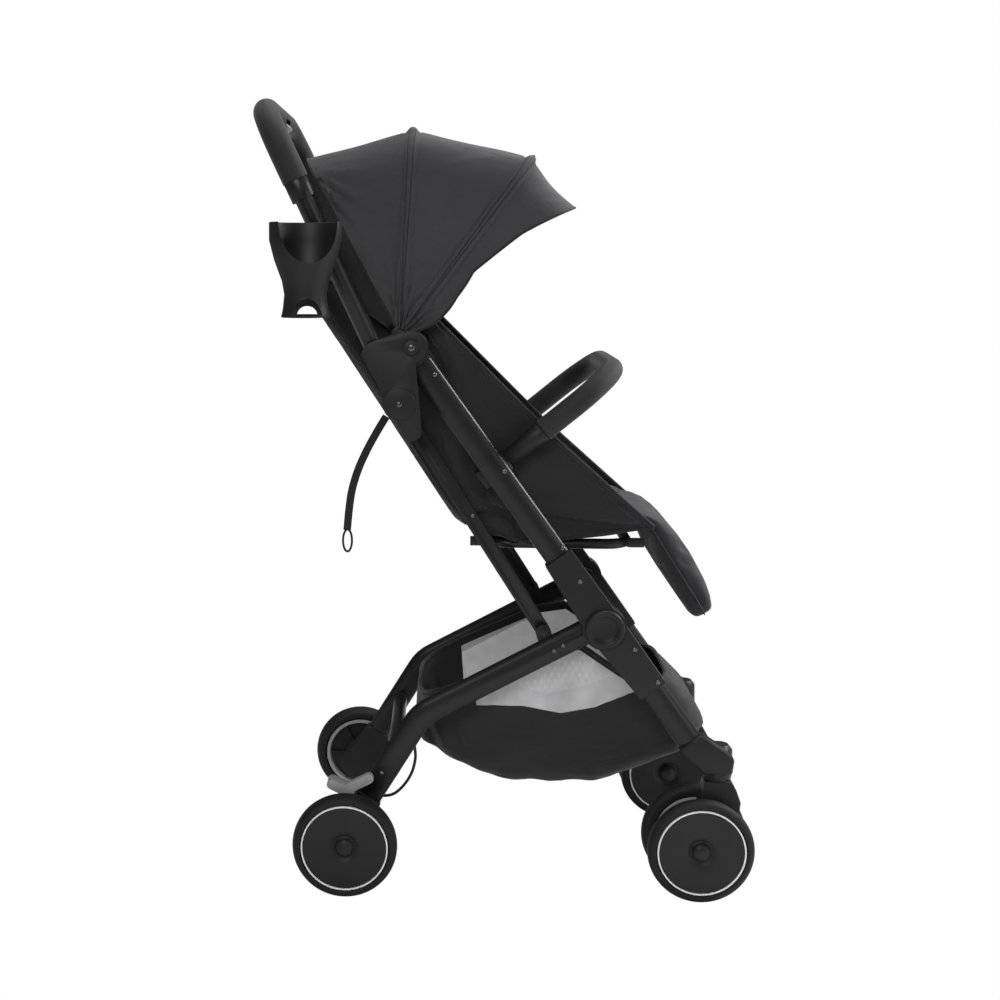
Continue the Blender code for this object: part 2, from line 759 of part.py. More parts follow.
def brake_pedal():
    """The foot pedal beside the right rear wheel, on its short pivot."""
    outline = capsule((0.004, 0.1325), (-0.0190, 0.1435), 0.0065, 6)
    arm = capsule((0.0300, 0.1500), (-0.002, 0.1335), 0.0062, 6)
    y = -0.1765
    piece = keep("brake_pedal", plate(arm, y, 0.0120), "brake_pedal", GREY)
    join(piece, plate(outline, y, 0.0240), "brake_pedal")
    stub = drum(0.0300, 0.1500, 0.0030, -0.1602, -0.1840, 12)
    join(piece, stub, "brake_pedal")


def strut(word, s):
    """The flat strut, hooked over the latch pin at its top and pinned to the leg below."""
    body = "strut_" + word
    outline = capsule(STRUT_LOW, STRUT_TOP, 0.0095, 8)
    piece = keep(body, plate(outline, s * STRUT_Y, STRUT_WIDE), body, TUBE_PAINT)
    cut(piece, drum(*STRUT_LOW, 0.0045 + GAP, s * 0.12, s * 0.155, 14), body)
    out = on_line(STRUT_TOP, radians(172), 0.010)
    throat = block((out[0], s * STRUT_Y, out[1]), (0.020, 0.02, 0.0115), radians(-172))
    cut(piece, throat, body)
    cut(piece, drum(*STRUT_TOP, 0.0058, s * 0.12, s * 0.155, 16), body)


def brake_cable():
    """The thin cable that leaves the right foot and goes up to the leg's inner side."""
    y = -0.1375
    knots = [
        Vector((0.036, y, 0.112)),
        Vector((0.062, y, 0.116)),
        Vector((0.082, y, 0.138)),
        Vector((0.0905, y, 0.165)),
        Vector((0.088, y, 0.190)),
        Vector((0.083, y, 0.204)),
    ]
    route = []
    padded = [knots[0] * 2 - knots[1]] + knots + [knots[-1] * 2 - knots[-2]]
    for a, b, c, d in zip(padded, padded[1:], padded[2:], padded[3:]):
        for i in range(4):
            t = i / 4
            route.append(
                0.5
                * (
                    2 * b
                    + (c - a) * t
                    + (2 * a - 5 * b + 4 * c - d) * t**2
                    + (3 * b - a - 3 * c + d) * t**3
                )
            )
    route.append(knots[-1])
    keep("brake_cable", tube(route, 0.0020, 2), "rear_legs", CABLE)


# Wheels and casters


def wheel(name, x, y, out, wide, ribs=0):
    """A wheel: round-shouldered tyre, ring groove, dished cap with a boss, hollow inner side."""
    half = wide / 2
    profile = [
        (0.0, half - 0.0005),
        (0.0095, half - 0.0014),
        (0.0125, half - 0.0052),
        (0.0400, half - 0.0036),
        (0.0535, half - 0.0030),
        (0.0560, half - 0.0010),
        (0.0585, half - 0.0030),
        (0.0640, half - 0.0028),
        (WHEEL_R, half * 0.25),
        (WHEEL_R, -half * 0.25),
        (0.0640, -half + 0.0018),
        (0.0520, -half + 0.0004),
        (0.0480, -half + 0.0090),
        (0.0112, -half + 0.0090),
        (0.0105, -half + 0.0006),
        (0.0046, -half + 0.0006),
        (0.0044, half - 0.0085),
        (0.0, half - 0.0085),
    ]
    mesh = turned(profile, (x, y, WHEEL_R), out, 24)
    piece = keep(name, mesh, name, TYRE)
    for i in range(ribs):
        a = TAU * i / ribs
        at = (x + 0.0285 * cos(a), y + out * (0.0055 - half), WHEEL_R + 0.0285 * sin(a))
        join(piece, block(at, (0.042, 0.0080, 0.0028), -a), name)
    return piece


def caster(word, s):
    """The swivelling fork: a curved arm from the upright stem down between the twin wheels."""
    body = "caster_" + word
    y = s * CASTER_Y
    x = CASTER_X
    outline = (
        [(x - 0.0175, 0.1555), (x + 0.0175, 0.1555)]
        + [(0.5105, 0.1440), (0.5165, 0.1280), (0.5150, 0.1080), (0.5030, 0.0850)]
        + arc((FRONT_AXLE_X, WHEEL_R), 0.0135, -20, -200, 8)
        + [(0.4560, 0.0900), (0.4630, 0.1200)]
    )
    piece = keep("caster_fork_" + word, plate(outline, y, 0.0300), body, PLASTIC)
    bevel(piece, 0.004, 1)
    join(piece, rod_up(x, y, 0.150, 0.1885, 0.0060), body)
    reach = FRONT_WHEEL_APART / 2 + 0.0040
    join(piece, drum(FRONT_AXLE_X, WHEEL_R, 0.0040, y - reach, y + reach, 14), body)


# Soft parts


def soft_sheet(rows, thick, body, name):
    """A cloth or padded sheet: a grid of points, given thickness on both sides."""
    work = bmesh.new()
    grid = [[work.verts.new(p) for p in row] for row in rows]
    for low, high in zip(grid, grid[1:]):
        for a, b, c, d in zip(low, low[1:], high[1:], high):
            work.faces.new((a, b, c, d))
    piece = keep(name, from_bmesh(work), body, CLOTH)
    step = piece.modifiers.new("thick", "SOLIDIFY")
    step.thickness = thick
    step.offset = 0
    return piece


def canopy():
    """The hood: three gores that sag between the bows, open below and in front."""
    corner = 0.050
    shares = [0.0, 0.22, 0.45, 0.66, 0.80]
    gores = [
        (radians(115), REAR_BOW_ANGLE, 0.253, REAR_BOW_R, 4),
        (REAR_BOW_ANGLE, FRONT_BOW_ANGLE, REAR_BOW_R, FRONT_BOW_R, 5),
        (FRONT_BOW_ANGLE, None, FRONT_BOW_R, 0.2725, 4),
    ]
    rows = []
    for number, (start, end, r0, r1, count) in enumerate(gores):
        for i in range(count + (number == 2)):
            share = i / count
            sag = sin(pi * share) * (0.011 if number < 2 else 0.003)
            top = r0 + (r1 - r0) * share - sag + FABRIC_OVER_BOW
            row = []
            for s in (-1, 1):
                side = []
                for part in shares:
                    reach = 0.020 + (top - corner - 0.020) * part / 0.80
                    side.append((reach, s * (CANOPY_Y - sag * 0.35 * sin(pi * part / 0.9))))
                for k in range(1, 5):
                    a = k / 4 * pi / 2
                    reach = top - corner + corner * sin(a)
                    side.append((reach, s * (CANOPY_Y - corner + corner * cos(a))))
                row.append(side)
            middle = [(top - 0.001, -0.052), (top - 0.0015, 0.0), (top - 0.001, 0.052)]
            points = []
            for reach, y in row[0] + middle + row[1][::-1]:
                stop = end
                if end is None:
                    stop = radians(visor_edge(reach))
                angle = start + (stop - start) * share
                points.append((CANOPY[0] + reach * cos(angle), y, CANOPY[1] + reach * sin(angle)))
            rows.append(points)
    soft_sheet(rows, 0.0028, "front_frame", "canopy_fabric")


def visor_edge(reach):
    """The hood's front hem, as degrees about the canopy pivot at a reach from it."""
    knots = [(0.0, 6.0), (0.049, 20.0), (0.087, 34.0), (0.123, 41.0), (0.20, 40.0), (0.285, 35.5)]
    for (a, low), (b, high) in zip(knots, knots[1:]):
        if reach <= b:
            return low + (high - low) * (reach - a) / (b - a)
    return knots[-1][1]


def bow(name, angle, radius, y, body):
    """A wire bow of the canopy, with a flat eye at each end."""
    def at(reach, side):
        return (CANOPY[0] + reach * cos(angle), side, CANOPY[1] + reach * sin(angle))

    route = rounded([at(0.007, -y), at(radius, -y), at(radius, y), at(0.007, y)], 0.048, 5)
    piece = keep(name, tube(route, BOW_WIRE_R, 1), body, STEEL)
    for s in SIDES.values():
        join(piece, drum(*CANOPY, 0.0080, s * (y - 0.0020), s * (y + 0.0020), 10), body)
        cut(piece, drum(*CANOPY, 0.0035 + GAP, s * (y - 0.010), s * (y + 0.010), 10), body)


def cushion(name, start, angle, long, half, thick, body, channels, side, crown=0.006):
    """A padded panel: crowned front with stitched channels, drawn-in sides, plain back."""
    round_end = 0.02
    work = bmesh.new()
    count = channels * 4
    across = 8
    front = []
    back = []
    for i in range(count + 1):
        along = long * i / count
        end = min(along, long - along)
        pull = 1 - max(0.0, 1 - end / round_end) ** 2
        row_f = []
        row_b = []
        for j in range(across + 1):
            v = -1 + 2 * j / across
            width = half * (0.975 + 0.025 * pull) * (1 - 0.02 * abs(v) ** 2)
            edge = (1 - abs(v) ** 4) ** 0.5
            quilt = 0.5 - 0.5 * cos(TAU * (i % 4) / 4)
            lift = thick * (0.34 + 0.12 * pull) * (0.35 + 0.65 * edge)
            lift += (crown * quilt * edge) * pull
            face = on_line(start, angle, along, side * lift)
            rear = on_line(start, angle, along, -side * thick * 0.40 * (0.55 + 0.45 * edge))
            row_f.append(work.verts.new((face[0], v * width, face[1])))
            row_b.append(work.verts.new((rear[0], v * width, rear[1])))
        front.append(row_f)
        back.append(row_b)
    for sheet in (front, back):
        for low, high in zip(sheet, sheet[1:]):
            for a, b, c, d in zip(low, low[1:], high[1:], high):
                work.faces.new((a, b, c, d))
    border = [e for e in work.edges if e.is_boundary]
    bmesh.ops.bridge_loops(work, edges=border)
    return keep(name, from_bmesh(work), body, CLOTH)


def seat_side(word, s):
    """The cloth side wing, with its padded front rim and two soft folds."""
    back = SEAT_BACK_ANGLE
    low = (0.1760, 0.4420)
    high = on_line(SEAT_HINGE, back, 0.405, -0.010)
    front = [(0.4000, 0.4830), (0.2690, 0.5990), (0.1120, 0.7540), (0.030, 0.8050)]
    rows = []
    steps = 10
    for i in range(steps + 1):
        t = i / steps
        rear = (low[0] + (high[0] - low[0]) * t, low[1] + (high[1] - low[1]) * t)
        k = min(int(t * 3), 2)
        u = t * 3 - k
        edge = (
            front[k][0] + (front[k + 1][0] - front[k][0]) * u,
            front[k][1] + (front[k + 1][1] - front[k][1]) * u,
        )
        row = []
        for j in range(9):
            v = j / 8
            fold = 0.0007 * sin(TAU * (v * 1.5 + t))
            row.append(
                (
                    rear[0] + (edge[0] - rear[0]) * v,
                    s * (SIDE_Y + fold),
                    rear[1] + (edge[1] - rear[1]) * v,
                )
            )
        rows.append(row)
    piece = soft_sheet(rows, 0.0018, "front_frame", "seat_side_" + word)
    rim = [(x, s * SIDE_Y, z) for x, z in front]
    route = rounded(rim, 0.05, 3)
    join(piece, tube(route, 0.0027, 2), "front_frame")


def basket_rim(x):
    """The height of the basket's upper edge, which follows the legs up towards the hubs."""
    knots = [(0.080, 0.236), (0.295, 0.334), (0.395, 0.264), (0.440, 0.276), (0.500, 0.276)]
    for (a, low), (b, high) in zip(knots, knots[1:]):
        if x <= b:
            return low + (high - low) * (x - a) / (b - a)
    return knots[-1][1]


def basket():
    """The shopping basket: a deep cloth tray, bulging in front, with mesh walls above."""
    half = 0.1290
    power = 0.42
    around = 28
    rim_level = 0.205
    levels = [
        (1.0, rim_level, 0.095, 0.430, 1.00),
        (0.5, rim_level, 0.090, 0.466, 1.00),
        (0.0, rim_level, 0.090, 0.486, 0.985),
        (0.0, 0.1870, 0.092, 0.474, 0.980),
        (0.0, 0.1720, 0.099, 0.459, 0.965),
        (0.0, 0.1580, 0.122, 0.425, 0.940),
        (0.0, 0.1430, 0.152, 0.390, 0.900),
        (0.0, 0.1320, 0.178, 0.365, 0.840),
        (0.0, 0.1260, 0.205, 0.340, 0.740),
    ]
    rows = []
    for up, z, rear, front, share in levels:
        wide = half * share
        mid = (rear + front) / 2
        deep = (front - rear) / 2
        ring = []
        for i in range(around):
            a = TAU * i / around
            x = mid + deep * abs(cos(a)) ** power * (1 if cos(a) >= 0 else -1)
            y = wide * abs(sin(a)) ** power * (1 if sin(a) >= 0 else -1)
            ring.append((x, y, z + up * (basket_rim(x) - z)))
        rows.append(ring)
    work = bmesh.new()
    grid = [[work.verts.new(p) for p in row] for row in rows]
    for low, high in zip(grid, grid[1:]):
        for i in range(around):
            k = (i + 1) % around
            work.faces.new((low[i], low[k], high[k], high[i]))
    work.faces.new(grid[-1])
    piece = keep("basket", from_bmesh(work), "front_frame", CLOTH)
    step = piece.modifiers.new("thick", "SOLIDIFY")
    step.thickness = 0.0022
    step.offset = -1


def harness():
    """The crotch strap with its buckle and button, and the two shoulder straps."""
    strap = [(0.2590, 0.5045), (0.2620, 0.5120), (0.2620, 0.5370)]
    keep("crotch_strap", strip(strap, 0.0125, 0.0020), "front_frame", WEB)
    shell = block((0.262, 0, 0.5600), (0.0160, 0.0460, 0.0440), 0, 0.005)
    shell = keep("harness_buckle", shell, "front_frame", PLASTIC)
    cut(shell, drum_x(0.2645, 0.2720, 0.5600, 0.0093), "front_frame")
    press = keep("buckle_button", drum_x(0.2668, 0.2715, 0.5600, 0.0089), "buckle_button", GREY)
    bevel(press, 0.0008, 1)
    face = 0.0300
    rows = []
    for s in (-1, 1):
        points = [
            on_line(SEAT_HINGE, SEAT_BACK_ANGLE, 0.150, -face),
            on_line(SEAT_HINGE, SEAT_BACK_ANGLE, 0.250, -face),
            on_line(SEAT_HINGE, SEAT_BACK_ANGLE, 0.345, -face),
        ]
        rows.append((s, points))
    bar = [on_line(SEAT_HINGE, SEAT_BACK_ANGLE, 0.335 + k * 0.022, -face - 0.0008) for k in (0, 1)]
    first = keep("shoulder_straps", strip(rows[0][1], 0.0180, 0.0030, -0.048), "seat_back", WEB)
    join(first, strip(rows[1][1], 0.0180, 0.0030, 0.048), "seat_back")
    join(first, strip(bar, 0.0640, 0.0030), "seat_back")


def strip(points, half, thick, y=0.0):
    """A flat strap along (x, z) points, wide in Y."""
    work = bmesh.new()
    rows = [[work.verts.new((x, y + v * half, z)) for v in (-1, 0, 1)] for x, z in points]
    for low, high in zip(rows, rows[1:]):
        for a, b, c, d in zip(low, low[1:], high[1:], high):
            work.faces.new((a, b, c, d))
    bmesh.ops.recalc_face_normals(work, faces=work.faces)
    bmesh.ops.solidify(work, geom=work.faces[:], thickness=thick)
    return from_bmesh(work)


def drum_x(x0, x1, z, radius):
    """A short round boss along X at the buckle."""
    return rod((x0, 0, z), (x1, 0, z), radius, 20)


def bumper_bar():
    """The bar across the seat: a bent tube and its foam cover."""
    low = on_line(BUMPER_START, BUMPER_ANGLE, -0.006)
    far = on_line(BUMPER_START, BUMPER_ANGLE, BUMPER_LONG)
    corners = [(low[0], -BUMPER_Y, low[1]), (far[0], -BUMPER_Y, far[1])]
    corners += [(far[0], BUMPER_Y, far[1]), (low[0], BUMPER_Y, low[1])]
    route = rounded(corners, 0.070, 5)
    keep("bumper_bar", tube(route, BUMPER_R, 3), "bumper_bar", TUBE_PAINT)
    begin = on_line(BUMPER_START, BUMPER_ANGLE, 0.092)
    before = on_line(BUMPER_START, BUMPER_ANGLE, 0.080)
    outer = [Vector((begin[0], -BUMPER_Y, begin[1]))] + route[1:-1]
    outer.append(Vector((begin[0], BUMPER_Y, begin[1])))
    inner = [Vector((before[0], -BUMPER_Y, before[1]))] + route[1:-1]
    inner.append(Vector((before[0], BUMPER_Y, before[1])))
    foam = keep("bumper_foam", tube(outer, BUMPER_FOAM_R, 3), "bumper_bar", FOAM)
    cut(foam, tube(inner, BUMPER_R + GAP, 3), "bumper_bar")


def seat():
    """Seat back, seat cushion and leg rest."""
    start = on_line(SEAT_HINGE, SEAT_BACK_ANGLE, 0.020, -0.006)
    long = SEAT_BACK_LONG - 0.020
    back = cushion(
        "seat_back", start, SEAT_BACK_ANGLE, long, SEAT_HALF, 0.030, "seat_back", 5, -1
    )
    for s in SIDES.values():
        ear = plate(
            capsule(SEAT_HINGE, on_line(SEAT_HINGE, SEAT_BACK_ANGLE, 0.032), 0.0080, 6),
            s * 0.098,
            0.0060,
        )
        join(back, ear, "seat_back")
    half = SEAT_HALF - 0.001
    cushion("seat_pad", (0.196, 0.4790), radians(4), 0.186, half, 0.026, "front_frame", 3, 1)
    begin = on_line(LEG_REST_HINGE, LEG_REST_ANGLE, 0.010, 0.0190)
    rest = cushion(
        "leg_rest", begin, LEG_REST_ANGLE, 0.112, 0.1240, 0.044, "leg_rest", 2, 1, 0.004
    )
    for s in SIDES.values():
        ear = plate(
            capsule(LEG_REST_HINGE, on_line(LEG_REST_HINGE, LEG_REST_ANGLE, 0.032, 0.003), 0.0067, 6),
            s * 0.0985,
            0.0060,
        )
        join(rest, ear, "leg_rest")


def recline_strap():
    """The strap that hangs down behind the seat, ending in its small loop."""
    y = -0.100
    points = [
        (0.0480, 0.6240),
        (0.0370, 0.6057),
        (0.0224, 0.5788),
        (0.0105, 0.5518),
        (0.0025, 0.5247),
        (-0.0015, 0.4975),
        (-0.0040, 0.4700),
    ]
    loop_at = (-0.0035, 0.4560)
    loop = [
        (loop_at[0] + 0.0060 * cos(TAU * k / 12), 0, loop_at[1] + 0.0150 * sin(TAU * k / 12))
        for k in range(12)
    ]
    strap = tube([(x, 0, z) for x, z in points], 0.0052, 1, flat=0.22, y=y)
    piece = keep("recline_strap", strap, "seat_back", WEB)
    join(piece, tube(loop, 0.0014, 1, cyclic=True, flat=1.0, y=y), "seat_back")


for word, s in SIDES.items():
    front_tube(word, s)
    hub_sleeve(word, s)
    hub_cap(word, s)
    top_fitting(word, s)
    caster_socket(word, s)
    bumper_socket(word, s)
    hinge_housing(word, s)
    rear_leg(word, s)
    rear_foot(word, s)
    strut(word, s)
    brake(word, s)
    wheel("rear_wheel_" + word, 0.0, s * REAR_WHEEL_Y, s, REAR_WHEEL_WIDE, 6)
    caster(word, s)
    for place, t in (("outer", 1), ("inner", -1)):
        wheel(
            f"front_wheel_{word}_{place}",
            FRONT_AXLE_X,
            s * (CASTER_Y + t * FRONT_WHEEL_APART / 2),
            s * t,
            FRONT_WHEEL_WIDE,
        )
    seat_side(word, s)
front_cross_tube()
seat_frame()
handle_grip(handle_tube())
cup_holder()
rear_cross_tube()
brake_pedal()
brake_cable()
canopy()
bow("canopy_rear_bow", REAR_BOW_ANGLE, REAR_BOW_R, REAR_BOW_Y, "canopy_rear_bow")
bow("canopy_front_bow", FRONT_BOW_ANGLE, FRONT_BOW_R, FRONT_BOW_Y, "canopy_front_bow")
seat()
harness()
recline_strap()
bumper_bar()
basket()
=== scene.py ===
import json
from math import atan2, cos, hypot, pi, radians, sin

import bmesh
import bpy
from mathutils import Matrix, Vector, noise


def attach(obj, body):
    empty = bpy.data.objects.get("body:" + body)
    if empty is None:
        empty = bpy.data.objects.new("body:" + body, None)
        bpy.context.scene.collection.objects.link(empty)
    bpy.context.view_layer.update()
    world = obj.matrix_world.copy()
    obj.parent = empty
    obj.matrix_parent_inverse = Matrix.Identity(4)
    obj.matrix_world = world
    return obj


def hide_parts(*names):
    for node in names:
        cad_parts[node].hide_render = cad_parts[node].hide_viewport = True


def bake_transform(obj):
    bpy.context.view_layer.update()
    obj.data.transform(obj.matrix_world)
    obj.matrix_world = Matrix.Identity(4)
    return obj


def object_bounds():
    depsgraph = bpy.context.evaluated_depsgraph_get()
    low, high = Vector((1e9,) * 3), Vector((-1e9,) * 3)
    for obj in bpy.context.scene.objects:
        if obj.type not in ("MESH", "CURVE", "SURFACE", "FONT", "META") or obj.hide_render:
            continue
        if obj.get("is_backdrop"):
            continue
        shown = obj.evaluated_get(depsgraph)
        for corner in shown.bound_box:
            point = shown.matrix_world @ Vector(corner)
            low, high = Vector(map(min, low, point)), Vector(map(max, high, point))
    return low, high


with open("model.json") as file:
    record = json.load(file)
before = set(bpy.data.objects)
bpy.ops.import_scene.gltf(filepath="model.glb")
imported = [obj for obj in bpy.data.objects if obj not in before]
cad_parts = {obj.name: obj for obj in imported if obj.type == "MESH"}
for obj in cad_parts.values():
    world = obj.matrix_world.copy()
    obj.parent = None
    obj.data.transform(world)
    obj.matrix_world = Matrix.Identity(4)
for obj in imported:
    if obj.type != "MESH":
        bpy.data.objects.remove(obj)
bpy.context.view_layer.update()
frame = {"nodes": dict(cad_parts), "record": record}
nodes = frame["nodes"]

# where the stroller's own origin, on the floor under the rear axle, lies in the frame
place = {"x": -0.2045, "y": 0.0322}
mergeWithin = {"shape": 0.000005, "turned": 0.00001, "seam": 0.00002}
sides = {"right": -1, "left": 1}
handlePath = {"latch": (0.0677, 0.6488), "top": (-0.107, 1.0183), "halfWidth": 0.180, "cornerRadius": 0.062}


# materials
def newMaterial(name):
    made = bpy.data.materials.new(name)
    made.use_nodes = True
    tree = made.node_tree
    return made, tree, tree.nodes["Principled BSDF"]


def setInputs(tree, node, inputs):
    for key, value in inputs.items():
        if isinstance(value, bpy.types.NodeSocket):
            tree.links.new(value, node.inputs[key])
        else:
            node.inputs[key].default_value = value


def addNode(tree, kind, inputs=None, **values):
    node = tree.nodes.new("ShaderNode" + kind)
    for key, value in values.items():
        setattr(node, key, value)
    setInputs(tree, node, inputs or {})
    return node


def spread(tree, fac, low, high, start=0.3, end=0.7):  # a ramp between two colours
    ramp = addNode(tree, "ValToRGB", {"Fac": fac})
    for element, position, colour in zip(ramp.color_ramp.elements, (start, end), (low, high)):
        element.position = position
        element.color = (colour[0], colour[0], colour[1], 1)
    return ramp.outputs["Color"]


def scaleRange(tree, value, low, high):
    return addNode(tree, "MapRange", {"Value": value, "To Min": low, "To Max": high}).outputs["Result"]


def combine(tree, how, a, b):
    return addNode(tree, "Math", {0: a, 1: b}, operation=how).outputs[0]


def mixTones(tree, a, b, share):  # share of b, the rest of a
    first, second = combine(tree, "MULTIPLY", a, 1 - share), combine(tree, "MULTIPLY", b, share)
    return combine(tree, "ADD", first, second)


def raised(tree, height, strength, distance, **more):
    inputs = {"Height": height, "Strength": strength, "Distance": distance, **more}
    return addNode(tree, "Bump", inputs).outputs["Normal"]


def solidFinish(name, low, high, grain, rough, bump, metal=0.0, sheen=0.0, blotch=18.0):  # hard surfaces
    made, tree, shader = newMaterial(name)
    where = addNode(tree, "TexCoord").outputs["Object"]
    fine = addNode(tree, "TexNoise", {"Vector": where, "Scale": grain, "Detail": 3.0}).outputs["Fac"]
    broad = addNode(tree, "TexNoise", {"Vector": where, "Scale": blotch, "Detail": 4.0}).outputs["Fac"]
    mixed = mixTones(tree, fine, broad, 0.6)
    setInputs(tree, shader, {
        "Base Color": spread(tree, mixed, low, high), "Roughness": scaleRange(tree, mixed, *rough),
        "Normal": raised(tree, fine, *bump), "Metallic": metal, "Specular IOR Level": 0.26,
        "Sheen Weight": sheen, "Sheen Roughness": 0.5,
    })
    return made


def addWave(tree, uv, pitch, slant, settings):  # bands across the slant, one a pitch
    turn = {"Vector": uv, "Rotation": (0, 0, radians(slant)), "Scale": (1 / pitch,) * 3}
    turned = addNode(tree, "Mapping", turn).outputs["Vector"]
    return addNode(tree, "TexWave", {"Vector": turned, **settings}, bands_direction="X").outputs["Fac"]


def clothFinish(name, low, high, pitch, slant=45.0, sheen=0.25, strength=0.5):  # woven cloth, in metres
    made, tree, shader = newMaterial(name)
    uv = addNode(tree, "UVMap", uv_map="cloth").outputs["UV"]
    where = addNode(tree, "TexCoord").outputs["Object"]
    ribs = addWave(tree, uv, pitch, slant, {"Scale": 1.0, "Distortion": 0.35, "Detail": 1.0})
    threads = addNode(tree, "TexNoise", {"Vector": uv, "Scale": 0.7 / pitch, "Detail": 2.0}).outputs["Fac"]
    broad = addNode(tree, "TexNoise", {"Vector": where, "Scale": 9.0, "Detail": 3.0}).outputs["Fac"]
    weave = mixTones(tree, ribs, threads, 0.55)
    tone = mixTones(tree, weave, broad, 0.3)
    stretch = {"Vector": where, "Rotation": (0, radians(36), 0), "Scale": (9.0, 16.0, 26.0)}
    stretched = addNode(tree, "Mapping", stretch).outputs["Vector"]
    creases = addNode(
        tree, "TexNoise", {"Vector": stretched, "Scale": 1.0, "Detail": 2.5, "Distortion": 0.6}
    )
    soft = raised(tree, creases.outputs["Fac"], 0.55, 0.010)
    setInputs(tree, shader, {
        "Base Color": spread(tree, tone, low, high, 0.25, 0.75),
        "Roughness": scaleRange(tree, weave, 0.82, 0.95),
        "Normal": raised(tree, weave, strength, 0.0004, Normal=soft), "Specular IOR Level": 0.30,
        "Sheen Weight": sheen, "Sheen Roughness": 0.45, "Sheen Tint": (0.8, 0.8, 0.84, 1),
    })
    return made


def netFinish(name, low, high, pitch, hole):  # small holes in two slanted rows, threads between
    made, tree, shader = newMaterial(name)
    uv = addNode(tree, "UVMap", uv_map="cloth").outputs["UV"]
    wave = {"Scale": 0.5, "Distortion": 1.2, "Detail Scale": 0.6}
    holes = combine(tree, "MULTIPLY", *[addWave(tree, uv, pitch, slant, wave) for slant in (30.0, -30.0)])
    broad = addNode(tree, "TexNoise", {"Vector": uv, "Scale": 30.0}).outputs["Fac"]
    edge = {"Value": holes, "From Min": hole, "From Max": hole + 0.05, "To Min": 1.0, "To Max": 0.0}
    setInputs(tree, shader, {
        "Base Color": spread(tree, broad, low, high), "Roughness": 0.8,
        "Alpha": addNode(tree, "MapRange", edge).outputs["Result"],
        "Normal": raised(tree, holes, 0.4, 0.0003),
    })
    return made


# name, low and high tone as (red and green, blue), grain, gloss, the bump's strength and depth, metal, sheen
hardFinishes = {
    "paint": ("matte_black_paint", (0.009, 0.010), (0.014, 0.015), 900, (0.30, 0.38), (0.03, 0.0001)),
    "plastic": ("grained_black_plastic", (0.008, 0.009), (0.014, 0.015), 1400, (0.42, 0.56), (0.25, 0.0002)),
    "foam": ("black_foam", (0.010, 0.010), (0.020, 0.020), 1100, (0.62, 0.80), (0.55, 0.0006), 0.0, 0.12),
    "tyre": ("tyre_rubber", (0.006, 0.007), (0.012, 0.013), 700, (0.55, 0.72), (0.30, 0.0003)),
    "rim": ("wheel_plastic", (0.009, 0.010), (0.015, 0.016), 1300, (0.42, 0.55), (0.20, 0.0002)),
    "ring": ("pale_ring", (0.80, 0.80), (0.90, 0.90), 600, (0.35, 0.45), (0.08, 0.0001)),
    "greyPlastic": ("grey_plastic_grained", (0.26, 0.265), (0.36, 0.365), 1400, (0.45, 0.6), (0.25, 0.0002)),
    "steel": ("zinc_steel", (0.42, 0.43), (0.60, 0.61), 800, (0.25, 0.42), (0.08, 0.0001), 1.0),
    "cable": ("cable_jacket_black", (0.010, 0.010), (0.016, 0.016), 900, (0.45, 0.55), (0.05, 0.0001)),
    "rivet": ("dark_rivet", (0.10, 0.105), (0.18, 0.185), 800, (0.22, 0.34), (0.05, 0.0001), 1.0),
}
# name, low and high tone, pitch, slant, sheen, strength of the weave's bump
clothFinishes = {
    "twill": ("charcoal_twill", (0.026, 0.028), (0.054, 0.057), 0.0012),
    "darkTwill": ("dark_twill", (0.010, 0.011), (0.023, 0.025), 0.0012),
    "binding": ("edge_binding", (0.010, 0.011), (0.020, 0.021), 0.0009, 0.0),
    "webbing": ("strap_webbing", (0.010, 0.011), (0.024, 0.026), 0.0014, 0.0, 0.12, 0.8),
}
finishes = {key: solidFinish(*row) for key, row in hardFinishes.items()}
finishes.update({key: clothFinish(*row) for key, row in clothFinishes.items()})
finishes["net"] = netFinish("basket_net", (0.46, 0.47), (0.62, 0.63), pitch=0.0015, hole=0.46)
print("materials", len(finishes))


# camera, floor and light
cameraSettings = {
    "lens": 58.9, "sensor": 36.0, "shiftX": 0.167, "shiftY": 0.0, "turn": (81.517, 0.0, 3.93),
    "eye": (-0.0787, -2.2350, 0.8348),
}
lightSettings = {
    "key": ((-0.7, -2.6, 2.3), 1.6, 46.0),
    "fill": ((2.4, -1.7, 1.0), 1.6, 14.0),
    "rim": ((2.3, 0.7, 1.9), 1.0, 70.0),
    "top": ((-0.1, 0.3, 3.0), 1.6, 46.0),
}
lightsLookAt = Vector((0, 0, 0.5))
room = {"seen": 1.0, "lit": 0.11, "floorTone": 0.93, "floorSize": 60, "floorDown": 0.0005}
bpy.context.scene.view_settings.view_transform = "Standard"
world = bpy.context.scene.world or bpy.data.worlds.new("room")
bpy.context.scene.world = world


def linked(name, data):
    held = bpy.data.objects.new(name, data)
    bpy.context.scene.collection.objects.link(held)
    return held


def makeCamera():
    data = bpy.data.cameras.new("camera")
    data.sensor_width = cameraSettings["sensor"]
    data.lens = cameraSettings["lens"]
    data.shift_x = cameraSettings["shiftX"]
    data.shift_y = cameraSettings["shiftY"]
    held = linked("camera", data)
    held.location = cameraSettings["eye"]
    held.rotation_euler = [radians(a) for a in cameraSettings["turn"]]
    bpy.context.scene.camera = held


def makeLights():
    for name, (where, size, power) in lightSettings.items():
        data = bpy.data.lights.new(name, "AREA")
        data.shape = "DISK"
        data.size = size
        data.energy = power
        held = linked(name, data)
        held.location = where
        held.rotation_euler = (lightsLookAt - Vector(where)).to_track_quat("-Z", "Y").to_euler()


def seenOrLit(tree, lit, seen):  # one shader for the camera, one for all other rays
    ray = addNode(tree, "LightPath").outputs["Is Camera Ray"]
    return addNode(tree, "MixShader", {0: ray, 1: lit.outputs[0], 2: seen.outputs[0]}).outputs[0]


